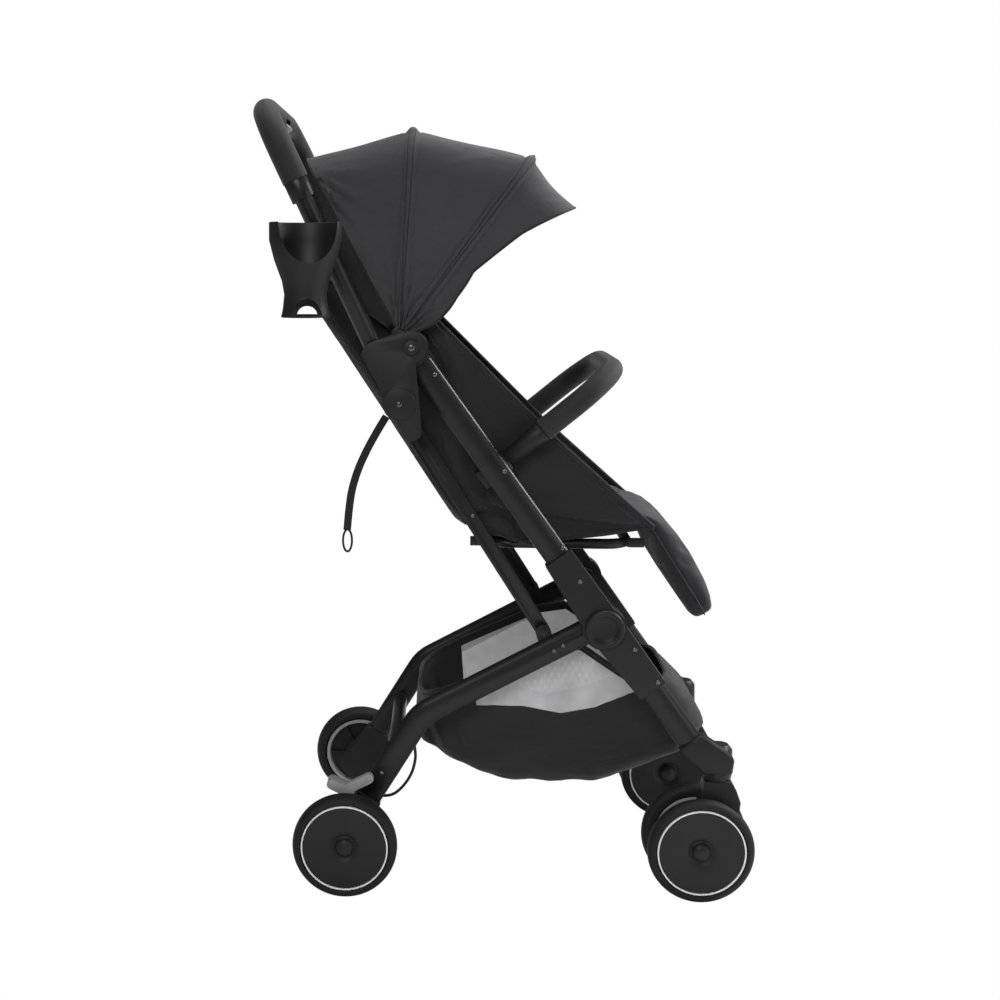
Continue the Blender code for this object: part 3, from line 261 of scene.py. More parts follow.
def makeRoom():  # bright to the camera, softer as a light
    world.use_nodes = True
    tree = world.node_tree
    tree.nodes.clear()
    white = (1.0, 1.0, 1.0, 1)
    seen = addNode(tree, "Background", {"Color": white, "Strength": room["seen"]})
    lit = addNode(tree, "Background", {"Color": white, "Strength": room["lit"]})
    addNode(tree, "OutputWorld", {"Surface": seenOrLit(tree, lit, seen)})
    made, tree, shader = newMaterial("floor")
    setInputs(tree, shader, {"Base Color": (*[room["floorTone"]] * 3, 1), "Roughness": 1.0})
    glow = addNode(tree, "Emission", {"Color": white, "Strength": room["seen"]})
    setInputs(tree, tree.nodes["Material Output"], {"Surface": seenOrLit(tree, shader, glow)})
    bpy.ops.mesh.primitive_plane_add(size=room["floorSize"], location=(0, 0, -room["floorDown"]))
    floor = bpy.context.object
    floor.name = "floor"
    floor.data.materials.append(made)
    floor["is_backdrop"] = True


makeCamera()
makeLights()
makeRoom()


# making and placing pieces
def finishPiece(name, mesh, body, finish, replaced=(), smooth=40):  # in the frame
    mesh.transform(Matrix.Translation((place["x"], place["y"], 0)))
    return keepPiece(name, mesh, body, finish, replaced, smooth)


def keepPiece(name, mesh, body, finish, replaced=(), smooth=40):
    numbers = [p.material_index for p in mesh.polygons]
    mesh.materials.clear()
    for key in [finish] if isinstance(finish, str) else finish:
        mesh.materials.append(finishes[key])
    if len(mesh.materials) > 1:  # clearing them resets the faces' numbers
        mesh.polygons.foreach_set("material_index", numbers)
    mesh.shade_smooth()
    mesh.set_sharp_from_angle(angle=radians(smooth))
    piece = linked(name, mesh)
    if body:
        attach(piece, body)
    if replaced:
        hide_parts(*([replaced] if isinstance(replaced, str) else replaced))
    return piece


def meshOf(work, name="shape"):
    mesh = bpy.data.meshes.new(name)
    work.to_mesh(mesh)
    work.free()
    return mesh


def evenMesh(work):
    bmesh.ops.remove_doubles(work, verts=work.verts, dist=mergeWithin["shape"])
    bmesh.ops.recalc_face_normals(work, faces=work.faces)
    return meshOf(work)


def evaluated(held):  # the mesh that an object shows, its modifiers applied
    bpy.context.view_layer.update()
    return bpy.data.meshes.new_from_object(held.evaluated_get(bpy.context.evaluated_depsgraph_get()))


def painted(meshes):  # (mesh, finish number) pairs as one mesh; None keeps a mesh's own numbers
    work = bmesh.new()
    for mesh, number in meshes:
        before = len(work.faces)
        work.from_mesh(mesh)
        bpy.data.meshes.remove(mesh)
        work.faces.ensure_lookup_table()
        for face in work.faces[before:] if number is not None else ():
            face.material_index = number
    return meshOf(work, "painted")


def joined(meshes):
    return painted([(mesh, None) for mesh in meshes])


def onLine(start, angle, run, aside=0.0):
    c, s = cos(angle), sin(angle)
    return (start[0] + run * c - aside * s, start[1] + run * s + aside * c)


def lineTurn(at, angle, y=0.0):  # moves a shape along X onto a slanted line
    return Matrix.Translation((at[0], y, at[1])) @ Matrix.Rotation(-angle, 4, "Y")


def spun(profile, at=(0, 0, 0), axis="Y", out=1, steps=64):  # (radius, along) points turned about an axis
    work = bmesh.new()
    points = [work.verts.new((r, 0, a)) for r, a in profile]
    edges = []
    for a, b in zip(points, points[1:] + points[:1]):
        if max(a.co.x, b.co.x) > 1e-6:  # not along the axis
            edges.append(work.edges.new((a, b)))
    bmesh.ops.spin(
        work, geom=work.verts[:] + edges, cent=(0, 0, 0), axis=(0, 0, 1),
        angle=2 * pi, steps=steps, use_merge=True, use_duplicate=False,
    )
    bmesh.ops.remove_doubles(work, verts=work.verts, dist=mergeWithin["turned"])
    quarter = pi / 2 * out
    turns = {"X": Matrix.Rotation(quarter, 4, "Y"), "Y": Matrix.Rotation(-quarter, 4, "X"), "Z": Matrix()}
    bmesh.ops.transform(work, matrix=Matrix.Translation(at) @ turns[axis], verts=work.verts)
    return evenMesh(work)


def curveMesh(points, radius, rounding=6, cyclic=False, caps=True):  # a round tube
    curve = bpy.data.curves.new("route", "CURVE")
    curve.dimensions = "3D"
    curve.bevel_depth = radius
    curve.bevel_resolution = rounding
    curve.use_fill_caps = caps
    line = curve.splines.new("POLY")
    line.points.add(len(points) - 1)
    for slot, point in zip(line.points, points):
        slot.co = (*point, 1)
    line.use_cyclic_u = cyclic
    held = linked("route", curve)
    mesh = evaluated(held)
    bpy.data.objects.remove(held, do_unlink=True)
    work = bmesh.new()
    work.from_mesh(mesh)
    return evenMesh(work)


def flatTube(points, half, flatness, y, rounding):  # an oval tube along (x, z) points
    mesh = curveMesh([(x, 0, z) for x, z in points], half, rounding)
    mesh.transform(Matrix.Translation((0, y, 0)) @ Matrix.Diagonal((1, flatness, 1, 1)))
    return mesh


def barRoute(low, far, half, corner, steps=20):  # up one side, across and down the other
    corners = [(low, -half), (far, -half), (far, half), (low, half)]
    return roundedRoute([(at[0], y, at[1]) for at, y in corners], corner, steps)


def roundedRoute(points, radius, steps=12, closed=False):  # a route through points whose corners are arcs
    points = [Vector(p) for p in points]
    count = len(points)
    route = []
    for i, corner in enumerate(points):
        if not closed and i in (0, count - 1):
            route.append(corner)
            continue
        before = (points[i - 1] - corner).normalized()
        after = (points[(i + 1) % count] - corner).normalized()
        half = before.angle(after) / 2
        middle = corner + (before + after).normalized() * (radius / sin(half))
        back = radius / (sin(half) / cos(half))
        first = corner + before * back - middle
        last = corner + after * back - middle
        sweep = first.angle(last)
        for k in range(steps + 1):
            t = k / steps
            route.append(middle + (first * sin((1 - t) * sweep) + last * sin(t * sweep)) / sin(sweep))
    return route


def smoothRoute(knots, steps=6):  # a Catmull-Rom route through knots
    knots = [Vector(k) for k in knots]
    padded = [knots[0] * 2 - knots[1]] + knots + [knots[-1] * 2 - knots[-2]]
    route = []
    for a, b, c, d in zip(padded, padded[1:], padded[2:], padded[3:]):
        for i in range(steps):
            t = i / steps
            bend, twist = 2 * a - 5 * b + 4 * c - d, 3 * b - a - 3 * c + d
            route.append(0.5 * (2 * b + (c - a) * t + bend * t * t + twist * t * t * t))
    route.append(knots[-1])
    return route


# rigid pieces of the frame
rigidPieces = {
    "paint": {
        "nodes": ["strut_right", "strut_left", "seat_frame_rail",
                  "seat_cross_tube", "front_cross_tube", "rear_cross_tube", "bumper_bar", "handle_tube",
                  "rear_leg_right", "rear_leg_left"],
        "bevel": 0.0007, "slot": "frame_tube",
    },
    "plastic": {
        "nodes": ["hub_sleeve_right", "hub_sleeve_left", "top_fitting_right", "top_fitting_left",
                  "caster_socket_right", "caster_socket_left", "caster_fork_right", "caster_fork_left",
                  "rear_foot_right", "rear_foot_left", "hinge_housing_right", "hinge_housing_left",
                  "bumper_socket_right", "bumper_socket_left", "harness_buckle"],
        "bevel": 0.0009, "slot": "dark_plastic",
    },
    "greyPlastic": {
        "nodes": ["fold_button", "brake_pedal", "buckle_button",
                  "bumper_button_right", "bumper_button_left"],
        "bevel": 0.0006, "slot": "grey_plastic",
    },
    "steel": {"nodes": ["brake_pin_right", "brake_pin_left", "canopy_front_bow", "canopy_rear_bow"],
              "bevel": 0.0003, "slot": "steel"},
}


edgeRounding = {"flat": radians(1.0), "sharp": radians(38), "segments": 2}


def refinedMesh(node, width):  # a CAD node's copy with its sharp edges rounded
    work = bmesh.new()
    work.from_mesh(nodes[node].data)
    bmesh.ops.remove_doubles(work, verts=work.verts, dist=mergeWithin["turned"])
    bmesh.ops.dissolve_limit(work, angle_limit=edgeRounding["flat"], verts=work.verts, edges=work.edges)
    held = linked("held", meshOf(work, node))
    step = held.modifiers.new("round", "BEVEL")
    step.width = width
    step.segments = edgeRounding["segments"]
    step.limit_method = "ANGLE"
    step.angle_limit = edgeRounding["sharp"]
    step.use_clamp_overlap = True
    made = evaluated(held)
    bpy.data.objects.remove(held, do_unlink=True)
    return made


bodies = frame["record"]["behaviour"]["bodies"]
bodyOf = {node: body for body, members in bodies.items() for node in members}
for finish, group in rigidPieces.items():
    for node in group["nodes"]:
        mesh = refinedMesh(node, group["bevel"])
        keepPiece(node + "_finished", mesh, bodyOf[node], finish, node)
tube = {"middle": (0.3385, 0.360), "angle": radians(-54), "up": 0.417, "down": 0.185,
        "deep": 0.033, "wide": 0.018, "y": 0.174}
for word, s in sides.items():
    ends = [onLine(tube["middle"], tube["angle"], run) for run in (-tube["up"], tube["down"])]
    mesh = flatTube(ends, tube["deep"] / 2, tube["wide"] / tube["deep"], s * tube["y"], 16)
    name = "front_tube_" + word
    finishPiece(name + "_finished", mesh, "front_frame", "paint", name)
print("rigid pieces done")


def cutWith(mesh, *cutters):  # the mesh with other closed shapes taken out
    held = linked("held", mesh)
    tools = [linked("tool", cutter) for cutter in cutters]
    for tool in tools:
        step = held.modifiers.new("cut", "BOOLEAN")
        step.operation = "DIFFERENCE"
        step.solver = "EXACT"
        step.object = tool
    made = evaluated(held)
    for gone in [held, *tools]:
        bpy.data.objects.remove(gone, do_unlink=True)
    return made


def bevelled(work, edges, offset, segments):
    bmesh.ops.bevel(
        work, geom=edges, offset=offset, segments=segments, profile=0.5, affect="EDGES", material=-1
    )


def boxMesh(centre, size, turn=0.0, rounding=0.0, segments=3):  # a block turned about Y, with rounded edges
    work = bmesh.new()
    bmesh.ops.create_cube(work, size=1.0)
    bmesh.ops.scale(work, vec=size, verts=work.verts)
    if rounding:
        bevelled(work, work.edges[:], rounding, segments)
    matrix = Matrix.Translation(centre) @ Matrix.Rotation(turn, 4, "Y")
    bmesh.ops.transform(work, matrix=matrix, verts=work.verts)
    return evenMesh(work)


# wheels
wheelSize = {
    "radius": 0.069, "rearY": 0.210, "rearWide": 0.032, "frontX": 0.4637, "frontY": 0.165,
    "frontApart": 0.0345, "frontWide": 0.026, "steps": 96, "ringRadius": 0.0560, "ribs": 6,
}
rib = {"reach": 0.0285, "in": 0.0055, "size": (0.034, 0.0060, 0.0026), "rounding": 0.0005}
wheelFinishes = ["tyre", "rim", "ring", "greyPlastic"]


def wheelParts(at, out, half, ribs):
    r = wheelSize["radius"]
    ring = wheelSize["ringRadius"]
    shoulder = [
        (r - 0.0085, half - 0.0008), (r - 0.0060, half - 0.0013), (r - 0.0036, half - 0.0032),
        (r - 0.0016, half * 0.62), (r - 0.0004, half * 0.34), (r, half * 0.12),
    ]
    tyre = [(ring + 0.0014, half - 0.0052), (ring + 0.0028, half - 0.0018)] + shoulder
    tyre += [(a, -b) for a, b in shoulder[::-1]]
    tyre += [(ring - 0.0010, 0.0008 - half), (ring - 0.0020, 0.0044 - half)]
    cap = [
        (0, half - 0.0003), (0.0050, half - 0.0008), (0.0090, half - 0.0022), (0.0116, half - 0.0046),
        (0.0126, half - 0.0072), (0.0142, half - 0.0080), (0.0165, half - 0.0072),
        (0.0188, half - 0.0056), (0.0225, half - 0.0047), (0.0340, half - 0.0038),
        (0.0480, half - 0.0032), (ring - 0.0016, half - 0.0030), (ring - 0.0006, half - 0.0042),
        (ring + 0.0012, half - 0.0058), (0.0536, 0.0040 - half), (0.0525, 0.0026 - half),
        (0.0495, 0.0030 - half), (0.0480, 0.0090 - half), (0.0112, 0.0090 - half),
        (0.0105, 0.0006 - half), (0.0046, 0.0006 - half), (0.0044, half - 0.0085), (0, half - 0.0085),
    ]
    pale = [
        (ring - 0.0010, half - 0.0046), (ring - 0.0009, half - 0.0014), (ring, half - 0.0007),
        (ring + 0.0009, half - 0.0014), (ring + 0.0010, half - 0.0046),
    ]
    rim = [
        (0.0527, 0.0034 - half), (0.0522, 0.0010 - half), (0.0500, 0.0005 - half),
        (0.0478, 0.0010 - half), (0.0470, 0.0034 - half), (0.0462, 0.0088 - half),
        (0.0482, 0.0088 - half),
    ]
    profiles = (tyre, cap, pale, rim)
    steps = wheelSize["steps"]
    meshes = [(spun(each, at, "Y", out, steps), number) for number, each in enumerate(profiles)]
    for i in range(ribs):
        a = 2 * pi * i / ribs
        x, z = onLine((at[0], at[2]), a, rib["reach"])
        middle = (x, at[1] + out * (rib["in"] - half), z)
        meshes.append((boxMesh(middle, rib["size"], -a, rib["rounding"], 2), 1))
    return meshes


def finishWheel(name, x, y, wide, out, ribs):
    meshes = wheelParts((x, y, wheelSize["radius"]), out, wide / 2, ribs)
    finishPiece(name + "_finished", painted(meshes), name, wheelFinishes, name)


for word, s in sides.items():
    y = s * wheelSize["rearY"]
    finishWheel("rear_wheel_" + word, 0, y, wheelSize["rearWide"], s, wheelSize["ribs"])
    for which, t in (("outer", 1), ("inner", -1)):
        y = s * (wheelSize["frontY"] + t * wheelSize["frontApart"])
        finishWheel(f"front_wheel_{word}_{which}", wheelSize["frontX"], y, wheelSize["frontWide"], s * t, 0)
print("wheels done")


# handle, grip and fold button
(latchX, latchZ), (topX, topZ) = handlePath["latch"], handlePath["top"]
handleAngle = atan2(topZ - latchZ, topX - latchX)
gripSize = {
    "run": 0.310, "radius": 0.0170, "well": (0.030, 0.052, 0.026), "wellOut": 0.0157,
    "wellTurn": radians(25), "buttonTurn": radians(49),
}
gripFrom = onLine(handlePath["latch"], handleAngle, gripSize["run"])
gripRoute = barRoute(gripFrom, handlePath["top"], handlePath["halfWidth"], handlePath["cornerRadius"])
wellX, wellZ = onLine(handlePath["top"], -gripSize["buttonTurn"], gripSize["wellOut"])
well = boxMesh((wellX, 0, wellZ), gripSize["well"], gripSize["wellTurn"], 0.003)
gripMesh = cutWith(curveMesh(gripRoute, gripSize["radius"], 10), well)
grip = finishPiece("handle_grip_foam", gripMesh, "handle", "foam", "handle_grip")
print("handle done")


# bumper bar
bumper = {
    "start": (0.1820, 0.5530), "angle": radians(39.5), "long": 0.211, "y": 0.146, "foam": 0.015,
    "foamFrom": 0.092, "corner": 0.070,
}
adapter = {
    "low": 0.030, "steps": 48,
    "profile": [
        (0.0092, 0.0), (0.0112, 0.0004), (0.0122, 0.0016), (0.0124, 0.040), (0.0136, 0.0445),
        (0.0138, 0.0605), (0.0130, 0.0615), (0.0092, 0.0615),
    ],
}


def onBumper(run):
    return onLine(bumper["start"], bumper["angle"], run)


for word, s in sides.items():
    mesh = spun(adapter["profile"], axis="X", steps=adapter["steps"])
    mesh.transform(lineTurn(onBumper(adapter["low"]), bumper["angle"], s * bumper["y"]))
    finishPiece("bumper_adapter_" + word, mesh, "bumper_bar", "plastic", (), 40)
foamRoute = barRoute(onBumper(bumper["foamFrom"]), onBumper(bumper["long"]), bumper["y"], bumper["corner"])
foamMesh = curveMesh(foamRoute, bumper["foam"], 10)
foam = finishPiece("bumper_foam_cover", foamMesh, "bumper_bar", "foam", "bumper_foam")
print("bumper done")


# cup holder
cup = {
    "at": (-0.047, -0.2462, 0.876), "radius": 0.0445, "wall": 0.0026, "steps": 64, "clipRun": 0.232,
    "farArch": {"down": 0.121, "size": (0.026, 0.080, 0.036), "rounding": 0.0125},
    "scoop": {"turn": 12, "out": 0.042, "down": 0.0, "size": (0.072, 0.050, 0.100)},
    "arch": {"turn": 9, "out": 0.030, "down": 0.1165, "size": (0.038, 0.050, 0.047)},
    "foot": [
        (0.0282, -0.1130), (0.0296, -0.1130), (0.0301, -0.1135), (0.0301, -0.1160), (0.0282, -0.1160),
    ],
    "band": [
        (0.0128, -0.014), (0.0165, -0.014), (0.0170, -0.0133), (0.0170, 0.0133), (0.0165, 0.014),
        (0.0128, 0.014),
    ],
    "bandSteps": 40,
    "bridge": {"off": (-0.006, -0.0175, -0.004), "size": (0.022, 0.0130, 0.018), "rounding": 0.002},
}


def ovalCutter(at, turn, out, down, size):  # an oval bar that points outwards on the cup's near side
    work = bmesh.new()
    bmesh.ops.create_cone(work, cap_ends=True, segments=64, radius1=0.5, radius2=0.5, depth=1.0)
    moves = [
        Matrix.Rotation(pi / 2, 4, "X"), Matrix.Diagonal((*size, 1)),
        Matrix.Translation((0, -out, -down)), Matrix.Rotation(radians(turn), 4, "Z"),
        Matrix.Translation(at),
    ]
    for move in moves:
        bmesh.ops.transform(work, matrix=move, verts=work.verts)
    return evenMesh(work)


def cupMeshes():
    x, y, z = cup["at"]
    r = cup["radius"]
    inner = r - cup["wall"]
    profile = [
        (r - 0.0013, 0.0), (r - 0.0003, -0.0004), (r, -0.0015), (r, -0.022), (0.0385, -0.046),
        (0.0290, -0.072), (0.0262, -0.088), (0.0278, -0.104), (0.0300, -0.116), (0.0270, -0.116),
        (0.0248, -0.104), (0.0236, -0.0916), (0, -0.0916), (0, -0.088), (0.0235, -0.088),
        (0.0262, -0.072), (0.0357, -0.046), (inner, -0.022), (inner, -0.0012), (inner + 0.0004, -0.0004),
    ]
    bowl = spun(profile, cup["at"], "Z", 1, cup["steps"])
    farArch = cup["farArch"]
    arch = boxMesh((x, y, z - farArch["down"]), farArch["size"], 0, farArch["rounding"], 6)
    bowl = cutWith(bowl, arch, *[ovalCutter(cup["at"], **cup[key]) for key in ("scoop", "arch")])
    foot = spun(cup["foot"], cup["at"], "Z", 1, cup["steps"])
    clip = onLine(handlePath["latch"], handleAngle, cup["clipRun"])
    side = -handlePath["halfWidth"]
    band = spun(cup["band"], axis="X", steps=cup["bandSteps"])
    band.transform(lineTurn(clip, handleAngle, side))
    bridge = cup["bridge"]
    middle = Vector((clip[0], side, clip[1])) + Vector(bridge["off"])
    return [bowl, foot, band, boxMesh(middle, bridge["size"], 0, bridge["rounding"])]


cupMesh = joined(cupMeshes())
finishPiece("cup_holder_finished", cupMesh, "handle", "plastic", "cup_holder", 30)
print("cup done")


# cloth helpers
def clothUv(mesh):  # in metres, from the side each face looks to
    layer = mesh.uv_layers.get("cloth") or mesh.uv_layers.new(name="cloth")
    for polygon in mesh.polygons:
        n = [abs(v) for v in polygon.normal]
        skip = n.index(max(n))
        for index in polygon.loop_indices:
            point = mesh.vertices[mesh.loops[index].vertex_index].co
            flat = [point[i] for i in range(3) if i != skip]
            layer.data[index].uv = (flat[0] + 1.0, flat[1] + 1.0)


def gridSheet(across, along, placing, thickness=0.0):  # its point at (u, t) is placing(u, t)
    work = bmesh.new()
    bmesh.ops.create_grid(work, x_segments=across, y_segments=along, size=0.5)
    for vert in work.verts:
        vert.co = placing(vert.co.x + 0.5, vert.co.y + 0.5)
    bmesh.ops.recalc_face_normals(work, faces=work.faces)
    if thickness:
        for vert, normal in [(v, v.normal.copy()) for v in work.verts]:
            vert.co += normal * thickness / 2
        bmesh.ops.solidify(work, geom=work.faces[:], thickness=thickness)
    return meshOf(work, "sheet")


def between(knots, x):  # the value at x on a broken line through knots
    for (a, low), (b, high) in zip(knots, knots[1:]):
        if x <= b:
            return low + (high - low) * max(0.0, (x - a) / (b - a))
    return knots[-1][1]


def softStep(t):
    t = min(1.0, max(0.0, t))
    return t * t * (3 - 2 * t)


def bump(x, middle, width):  # a round hump of height 1 about the middle
    gap = abs(x - middle) / width
    return 0.0 if gap >= 1 else 0.5 + 0.5 * cos(pi * gap)


def rough(x, y, z):
    return noise.noise(Vector((x, y, z)))


def finishCloth(name, mesh, body, finish, replaced=(), smooth=60):
    mesh.transform(Matrix.Translation((place["x"], place["y"], 0)))
    clothUv(mesh)
    return keepPiece(name, mesh, body, finish, replaced, smooth)


def inFrame(x, z):
    return (x + place["x"], 0, z)


def strapMesh(points, half, thick, y=0.0, steps=8):  # a flat strap, wide in Y
    route = smoothRoute([(x, 0, z) for x, z in points], steps)
    last = len(route) - 1

    def placing(u, t):
        at = route[round(t * last)]
        return Vector((at.x, y + (2 * u - 1) * half, at.z))

    work = bmesh.new()
    mesh = gridSheet(6, last, placing, thick)
    work.from_mesh(mesh)
    bpy.data.meshes.remove(mesh)
    bevelled(work, [e for e in work.edges if e.is_manifold and e.calc_face_angle(0) > 1.2], thick * 0.35, 2)
    return evenMesh(work)


# hood
hood = {
    "pivot": (0.067, 0.7343), "halfWidth": 0.1545, "corner": 0.050, "crown": 0.0018, "hem": 0.009,
    "sideTo": 0.46, "cornerTo": 0.26, "rear": 118.6, "rearBow": 87.0, "frontBow": 53.3,
    "rearRadius": 0.2560, "rearBowRadius": 0.2606, "frontBowRadius": 0.2796, "visorRadius": 0.2760,
    "sag": 0.0115, "visorSag": 0.008, "thickness": 0.0012, "across": 150, "along": 104,
    "splits": (0.0, 0.36, 0.76, 1.0), "bendFrom": -0.042, "bendTo": 0.2245,
}
hoodFolds = {
    "nearPivot": 0.20, "pivotWave": 0.0016, "pivotTurns": 26, "lumps": 0.0016, "pullAt": 0.232,
    "pullStretch": 0.14, "pullReach": 0.115, "pullStart": 0.03, "pullFan": 15, "pull": 0.0056,
    "pullMiddle": 0.004, "pullRear": 0.05, "pullLow": 0.36, "pullFade": 0.12,
    "hemWave": 0.0012, "hemReach": 0.16, "hemTurns": 260, "sleeveEnd": 0.0042, "endAt": 0.29,
    "endWide": (0.007, 0.05), "sleeve": 0.0020, "sleeveWide": 0.0075, "sleeveFade": 0.0022,
    "seam": 0.0016, "seamAt": 0.0082, "seamWide": 0.0026,
}
hoodRims = {"edge": 0.0016, "hem": 0.0014, "hemSteps": 60, "seam": 0.0009, "seamAside": 0.011,
            "seamIn": -0.0004}
visorEdge = [(0.0, 6.0), (0.049, 20.0), (0.087, 34.0), (0.123, 41.0), (0.20, 40.0), (0.285, 35.5)]


def hoodAcross(u, top, sag):  # reach from the pivot and distance from the middle
    w = abs(2 * u - 1)
    corner = hood["corner"]
    if w > hood["sideTo"]:
        part = (1 - w) / (1 - hood["sideTo"])
        reach = hood["hem"] + (top - corner - hood["hem"]) * part
        return reach, hood["halfWidth"] - sag * 0.35 * sin(pi * part / 1.15)
    if w > hood["cornerTo"]:
        a = (hood["sideTo"] - w) / (hood["sideTo"] - hood["cornerTo"]) * pi / 2
        return top - corner + corner * sin(a), hood["halfWidth"] - corner + corner * cos(a)
    part = w / hood["cornerTo"]
    return top - hood["crown"] * (1 - part * part), (hood["halfWidth"] - corner) * part


def hoodPull(w, reach, share):  # folds that fan out from the rear corners
    f = hoodFolds
    side, back = reach - f["pullAt"], share * f["pullStretch"]
    away = hypot(side, back)
    fan = atan2(side, back + f["pullMiddle"])
    pull = softStep(1 - away / f["pullReach"]) * softStep(away / f["pullStart"])
    pull *= softStep(share / f["pullRear"]) * softStep((w - f["pullLow"]) / f["pullFade"])
    return f["pull"] * pull * sin(fan * f["pullFan"] + 2 * rough(reach * 16, share * 3, 5.0))


def hoodFold(u, reach, angle, share, number):  # lift off the even form
    f = hoodFolds
    w = abs(2 * u - 1)
    wave = sin(radians(angle) * f["pivotTurns"] + 3 * rough(reach * 20, angle * 0.05, 2.0))
    lift = f["pivotWave"] * softStep(1 - reach / f["nearPivot"]) * wave
    lift += f["lumps"] * rough(reach * 14, angle * 0.07, u * 3.0) * sin(pi * share)
    if number == 0:
        lift += hoodPull(w, reach, share)
    wave = sin(reach * f["hemTurns"] + 3 * sin(angle * 0.09))
    lift += f["hemWave"] * softStep(1 - reach / f["hemReach"]) * wave * sin(pi * share)
    for bowAngle in (hood["rearBow"], hood["frontBow"]):
        off = abs(radians(angle - bowAngle) * max(reach, 0.02))
        lift += f["sleeveEnd"] * bump(off, 0.0, f["endWide"][0]) * bump(w, f["endAt"], f["endWide"][1])
        lift += f["sleeve"] * softStep((f["sleeveWide"] - off) / f["sleeveFade"])
        lift -= f["seam"] * bump(off, f["seamAt"], f["seamWide"])
    return lift


def hoodPoint(u, t, inwards=0.0):
    number = 0 if t < hood["splits"][1] else 1 if t < hood["splits"][2] else 2
    first, last = hood["splits"][number:number + 2]
    share = (t - first) / (last - first)
    start, r0, r1, sag = (
        (hood["rear"], hood["rearRadius"], hood["rearBowRadius"], hood["sag"]),
        (hood["rearBow"], hood["rearBowRadius"], hood["frontBowRadius"], hood["sag"]),
        (hood["frontBow"], hood["frontBowRadius"], hood["visorRadius"], hood["visorSag"]),
    )[number]
    sag *= sin(pi * share)
    reach, y = hoodAcross(u, r0 + (r1 - r0) * share - sag, sag)
    stop = between(visorEdge, reach) if number == 2 else (hood["rearBow"], hood["frontBow"])[number]
    angle = start + (stop - start) * share
    lift = hoodFold(u, reach, angle, share, number) - inwards
    tilt = softStep((hood["sideTo"] - abs(2 * u - 1)) / 0.20)
    y += lift * (1 - tilt)
    x, z = onLine(hood["pivot"], radians(angle), reach + lift * tilt)
    return Vector((x, y if u > 0.5 else -y, z))


def hoodLine(t, inwards=0.0):  # across the hood, from hem to hem
    return [hoodPoint(k / hood["across"], t, inwards) for k in range(hood["across"] + 1)]


def hoodHem(u):  # along the hood, from its rear edge to the visor
    return [hoodPoint(u, k / hoodRims["hemSteps"]) for k in range(hoodRims["hemSteps"] + 1)]


hoodSheet = gridSheet(hood["across"], hood["along"], hoodPoint, hood["thickness"])
hoodEdges = [curveMesh(hoodLine(t), hoodRims["edge"], 4) for t in (0.0, 1.0)]
hoodEdges += [curveMesh(hoodHem(u), hoodRims["hem"], 4) for u in (0.0, 1.0)]
for bowShare in hood["splits"][1:3]:
    for t in (bowShare - hoodRims["seamAside"], bowShare + hoodRims["seamAside"]):
        hoodEdges.append(curveMesh(hoodLine(t, hoodRims["seamIn"]), hoodRims["seam"], 4))
hoodMesh = painted([(hoodSheet, 0)] + [(edge, 1) for edge in hoodEdges])
hoodPiece = finishCloth("hood_cloth", hoodMesh, None, ["twill", "binding"], "canopy_fabric")
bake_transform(hoodPiece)
print("hood done")


sleeve = {"from": 0.045, "corner": 0.048, "radius": 0.0034,
          "rear": (0.2550, 0.1476), "front": (0.2740, 0.1426)}  # reach and half width


def bowSleeve(name, angle, radius, y):  # the cloth sleeve that a bow runs in
    low, top = [onLine(hood["pivot"], radians(angle), reach) for reach in (sleeve["from"], radius)]
    route = barRoute(low, top, y, sleeve["corner"], 14)
    finishCloth(name + "_sleeve", curveMesh(route, sleeve["radius"], 5), name, "darkTwill")


skirt = {
    "y": 0.1528, "from": 117.0, "near": 0.018, "far": 0.225, "across": 44, "along": 10,
    "thickness": 0.0010, "turns": [(0.015, 30), (0.0755, 27), (0.115, 15), (0.17, 8), (0.235, 3.5)],
    "ripple": 0.0012, "rippleTurns": (60, 4), "drawnIn": 0.0015, "rim": 0.0013, "rimSteps": 60,
}


def skirtPoint(s):  # the loose flap behind the hood
    def placing(u, t):
        reach = skirt["near"] + (skirt["far"] - skirt["near"]) * u
        x, z = onLine(hood["pivot"], radians(skirt["from"] + between(skirt["turns"], reach) * t), reach)
        turns = skirt["rippleTurns"]
        ripple = skirt["ripple"] * sin(reach * turns[0] + turns[1] * t) - skirt["drawnIn"]
        return Vector((x, s * (skirt["y"] + ripple * t), z))

    return placing


for word, s in sides.items():
    sheet = gridSheet(skirt["across"], skirt["along"], skirtPoint(s), skirt["thickness"])
    hem = [skirtPoint(s)(k / skirt["rimSteps"], 1.0) for k in range(skirt["rimSteps"] + 1)]
    rim = curveMesh(hem, skirt["rim"], 4)
    piece = finishCloth("hood_flap_" + word, painted([(sheet, 0), (rim, 0)]), "front_frame", "darkTwill")
bowSleeve("canopy_rear_bow", hood["rearBow"], *sleeve["rear"])
bowSleeve("canopy_front_bow", hood["frontBow"], *sleeve["front"])


# side wings of the seat
seatHinge = (0.168, 0.460)
backAngle = radians(123.7)
wing = {
    "y": 0.1290, "low": (0.1760, 0.4420), "high": 0.405, "thickness": 0.0011, "along": 90, "across": 46,
    "hem": [
        (0.176, 0.470), (0.198, 0.4735), (0.220, 0.4645), (0.2355, 0.4632), (0.270, 0.4655),
        (0.3027, 0.4700), (0.36, 0.4770), (0.4, 0.4830),
    ],
    "rim": [(0.4000, 0.4830), (0.2690, 0.5990), (0.1120, 0.7540), (0.030, 0.8050)],
    "rimCorner": 0.06, "slack": (0.006, 0.080), "foldOut": 0.0048, "foldIn": -0.0046,
    "seamAt": 0.95, "seamOut": 0.0006,
    "rims": {"front": 0.0030, "inner": 0.0009, "hem": 0.0024, "rear": 0.0012},
}
wingHigh = onLine(seatHinge, backAngle, wing["high"], -0.010)
